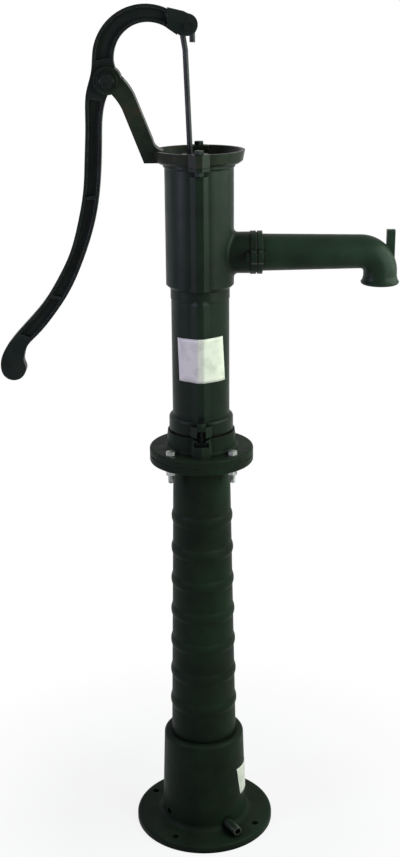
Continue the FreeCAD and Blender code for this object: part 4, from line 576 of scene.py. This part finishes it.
def addLabel(name, spec):
    mesh = bmesh.new()
    tree = BVHTree.FromObject(nodes[spec["node"]], bpy.context.evaluated_depsgraph_get())
    topLeft, topRight, lowRight, lowLeft = [(math.radians(turn), z * mm) for turn, z in spec["corners"]]
    columns, rows = filmForm["columns"], filmForm["rows"]
    verts = []
    for row in range(rows + 1):
        v = row / rows
        spans = []
        for column in range(columns + 1):
            u = column / columns
            top = [topLeft[k] * (1 - u) + topRight[k] * u for k in (0, 1)]
            low = [lowLeft[k] * (1 - u) + lowRight[k] * u for k in (0, 1)]
            spans.append([top[k] * (1 - v) + low[k] * v for k in (0, 1)])
        reaches = [surfaceReach(tree, angle, z) for angle, z in spans]
        if spec["bridges"]:
            hull = stretchedFilm([(r * math.sin(t), -r * math.cos(t)) for r, (t, z) in zip(reaches, spans)])
            reaches = [bridgedReach(hull, angle, r) for r, (angle, z) in zip(reaches, spans)]
        lifted = [(r + filmForm["lift"], t, z) for r, (t, z) in zip(reaches, spans)]
        verts.append([mesh.verts.new((r * math.sin(t), -r * math.cos(t), z)) for r, t, z in lifted])
    for upper, lower in zip(verts, verts[1:]):
        for i in range(columns):
            mesh.faces.new((upper[i], lower[i], lower[i + 1], upper[i + 1]))
    piece = addPiece(name, mesh, labelFilm, "pump", filmForm["creaseDegrees"])
    thicken = piece.modifiers.new("filmThickness", "SOLIDIFY")
    thicken.thickness = filmForm["thickness"]
    thicken.offset = 1.0


for name, spec in labels.items():
    addLabel(name, spec)
print("labels laid")


# fade is how many times the shadow's reach the floor takes to turn into the backdrop
floorLook = {"sheet": "#c8c8c8", "white": "#d2d2d2", "fibreMm": 3, "shadowReach": 0.22, "fade": 2.5,
             "backdropShare": 0.86}


def whiteFloor(name, look):
    # Seamless white studio paper: pale round the foot, where it keeps a soft shadow, and fading to the white
    # backdrop. Its fibres are drawn 3 mm apart, as real ones are too fine to show.
    material, tree = newMaterial(name)
    point = addNode(tree, "ShaderNodeTexCoord").outputs["Object"]
    paper = addNode(tree, "ShaderNodeTexNoise", Vector=point, Scale=perMetre(look["fibreMm"]), Detail=2.0)
    tint = addNode(tree, "ShaderNodeMix", {"data_type": "RGBA"}, Factor=paper.outputs["Fac"],
                   in6=linearColour(look["sheet"]), in7=linearColour(look["white"]))
    shaded = addNode(tree, "ShaderNodeBsdfDiffuse", Color=tint.outputs[2])
    white = addNode(tree, "ShaderNodeEmission", Color=(1, 1, 1, 1), Strength=1.0)
    away = addNode(tree, "ShaderNodeVectorMath", {"operation": "LENGTH"}, in0=point)
    fade = addNode(tree, "ShaderNodeMapRange", Value=away.outputs["Value"], FromMin=look["shadowReach"],
                   FromMax=look["shadowReach"] * look["fade"], ToMin=look["backdropShare"], ToMax=1.0)
    ray = addNode(tree, "ShaderNodeLightPath")
    seen = addNode(tree, "ShaderNodeMath", {"operation": "MAXIMUM"}, in0=ray.outputs["Is Camera Ray"],
                   in1=ray.outputs["Is Glossy Ray"])
    share = addNode(tree, "ShaderNodeMath", {"operation": "MULTIPLY"}, in0=seen.outputs[0],
                    in1=fade.outputs["Result"])
    shader = addNode(tree, "ShaderNodeMixShader", in0=share.outputs[0], in1=shaded.outputs[0],
                     in2=white.outputs[0])
    addNode(tree, "ShaderNodeOutputMaterial", in0=shader.outputs[0])
    return material


stage = {"radius": 40.0, "sides": 96, "drop": 0.4 * mm}
floorMesh = bmesh.new()
bmesh.ops.create_circle(floorMesh, cap_ends=True, segments=stage["sides"], radius=stage["radius"])
floorData = bpy.data.meshes.new("studioFloor")
floorMesh.to_mesh(floorData)
floorMesh.free()
floorData.materials.append(whiteFloor("seamlessWhiteFloor", floorLook))
floor = bpy.data.objects.new("studioFloor", floorData)
bpy.context.scene.collection.objects.link(floor)
floor.location = (0, 0, -stage["drop"])

# white backdrop for the camera and for gloss, and a faint fill for the rest
worldLook = {"backdrop": 1.0, "fill": 0.04}
world = bpy.data.worlds.new("studioWorld")
bpy.context.scene.world = world
world.use_nodes = True
skyTree = world.node_tree
skyTree.nodes.clear()
ray = addNode(skyTree, "ShaderNodeLightPath")
seenOrGlossy = addNode(skyTree, "ShaderNodeMath", {"operation": "MAXIMUM"}, in0=ray.outputs["Is Camera Ray"],
                       in1=ray.outputs["Is Glossy Ray"])
seenThrough = addNode(skyTree, "ShaderNodeMath", {"operation": "MAXIMUM"}, in0=seenOrGlossy.outputs[0],
                      in1=ray.outputs["Is Transmission Ray"])
strength = addNode(skyTree, "ShaderNodeMapRange", Value=seenThrough.outputs[0], ToMin=worldLook["fill"],
                   ToMax=worldLook["backdrop"])
sky = addNode(skyTree, "ShaderNodeBackground", Color=(1, 1, 1, 1), Strength=strength.outputs["Result"])
addNode(skyTree, "ShaderNodeOutputWorld", in0=sky.outputs[0])

lamps = {
    # place and aim in metres, size of the soft box, watts, tint
    "keyRight": {"place": (1.18, -0.25, 1.28), "aim": (0, 0, 1.03), "size": (1.35, 1.0), "power": 28,
                 "tint": "#eefff1"},
    "stripRight": {"place": (1.05, -0.88, 1.0), "aim": (0.1, 0, 1.0), "size": (0.35, 0.8), "power": 8,
                   "tint": "#eefff1"},
    "stripLeft": {"place": (-1.22, -0.60, 1.08), "aim": (0, 0, 1.02), "size": (0.34, 0.65), "power": 14,
                  "tint": "#dfd8ff"},
    "rimLeft": {"place": (-1.15, 0.42, 1.05), "aim": (0, 0, 0.95), "size": (0.16, 0.9), "power": 2,
                "tint": "#dfe6ff"},
    "topSoft": {"place": (0.3, 0.6, 3.0), "aim": (0, 0, 1.0), "size": (1.6, 1.6), "power": 2,
                "tint": "#ffffff"},
}
for name, lamp in lamps.items():
    light = bpy.data.lights.new(name, "AREA")
    light.shape = "RECTANGLE"
    light.size, light.size_y = lamp["size"]
    light.energy = lamp["power"]
    light.color = linearColour(lamp["tint"])[:3]
    holder = bpy.data.objects.new(name, light)
    bpy.context.scene.collection.objects.link(holder)
    holder.location = lamp["place"]
    aim = Vector(lamp["aim"]) - Vector(lamp["place"])
    holder.rotation_euler = aim.to_track_quat("-Z", "Y").to_euler()

# camera: found from the flanges' and the cap's ellipses in the 400 by 857 picture; place in metres
lens = {"focalPixels": 1328.0, "longSidePixels": 857, "sensorMm": 36.0, "downDegrees": 18.36,
        "rollDegrees": -0.513, "place": (-0.002, -1.923, 1.321), "farthest": 200.0}
camera = bpy.data.cameras.new("studioCamera")
camera.sensor_width = lens["sensorMm"]
camera.lens = lens["focalPixels"] / lens["longSidePixels"] * camera.sensor_width
camera.clip_end = lens["farthest"]
down, roll = math.radians(lens["downDegrees"]), math.radians(lens["rollDegrees"])
forward = Vector((0, math.cos(down), -math.sin(down)))
level = Vector((1, 0, 0))
upward = Vector((0, math.sin(down), math.cos(down)))
right = level * math.cos(roll) + upward * math.sin(roll)
above = upward * math.cos(roll) - level * math.sin(roll)
turned = Matrix((right, above, -forward)).transposed().to_4x4()
turned.translation = lens["place"]
cameraHolder = bpy.data.objects.new("studioCamera", camera)
bpy.context.scene.collection.objects.link(cameraHolder)
cameraHolder.matrix_world = turned
bpy.context.scene.camera = cameraHolder
bpy.context.scene.view_settings.view_transform = "Standard"
print("stage, lamps and camera set")

bpy.context.view_layer.update()
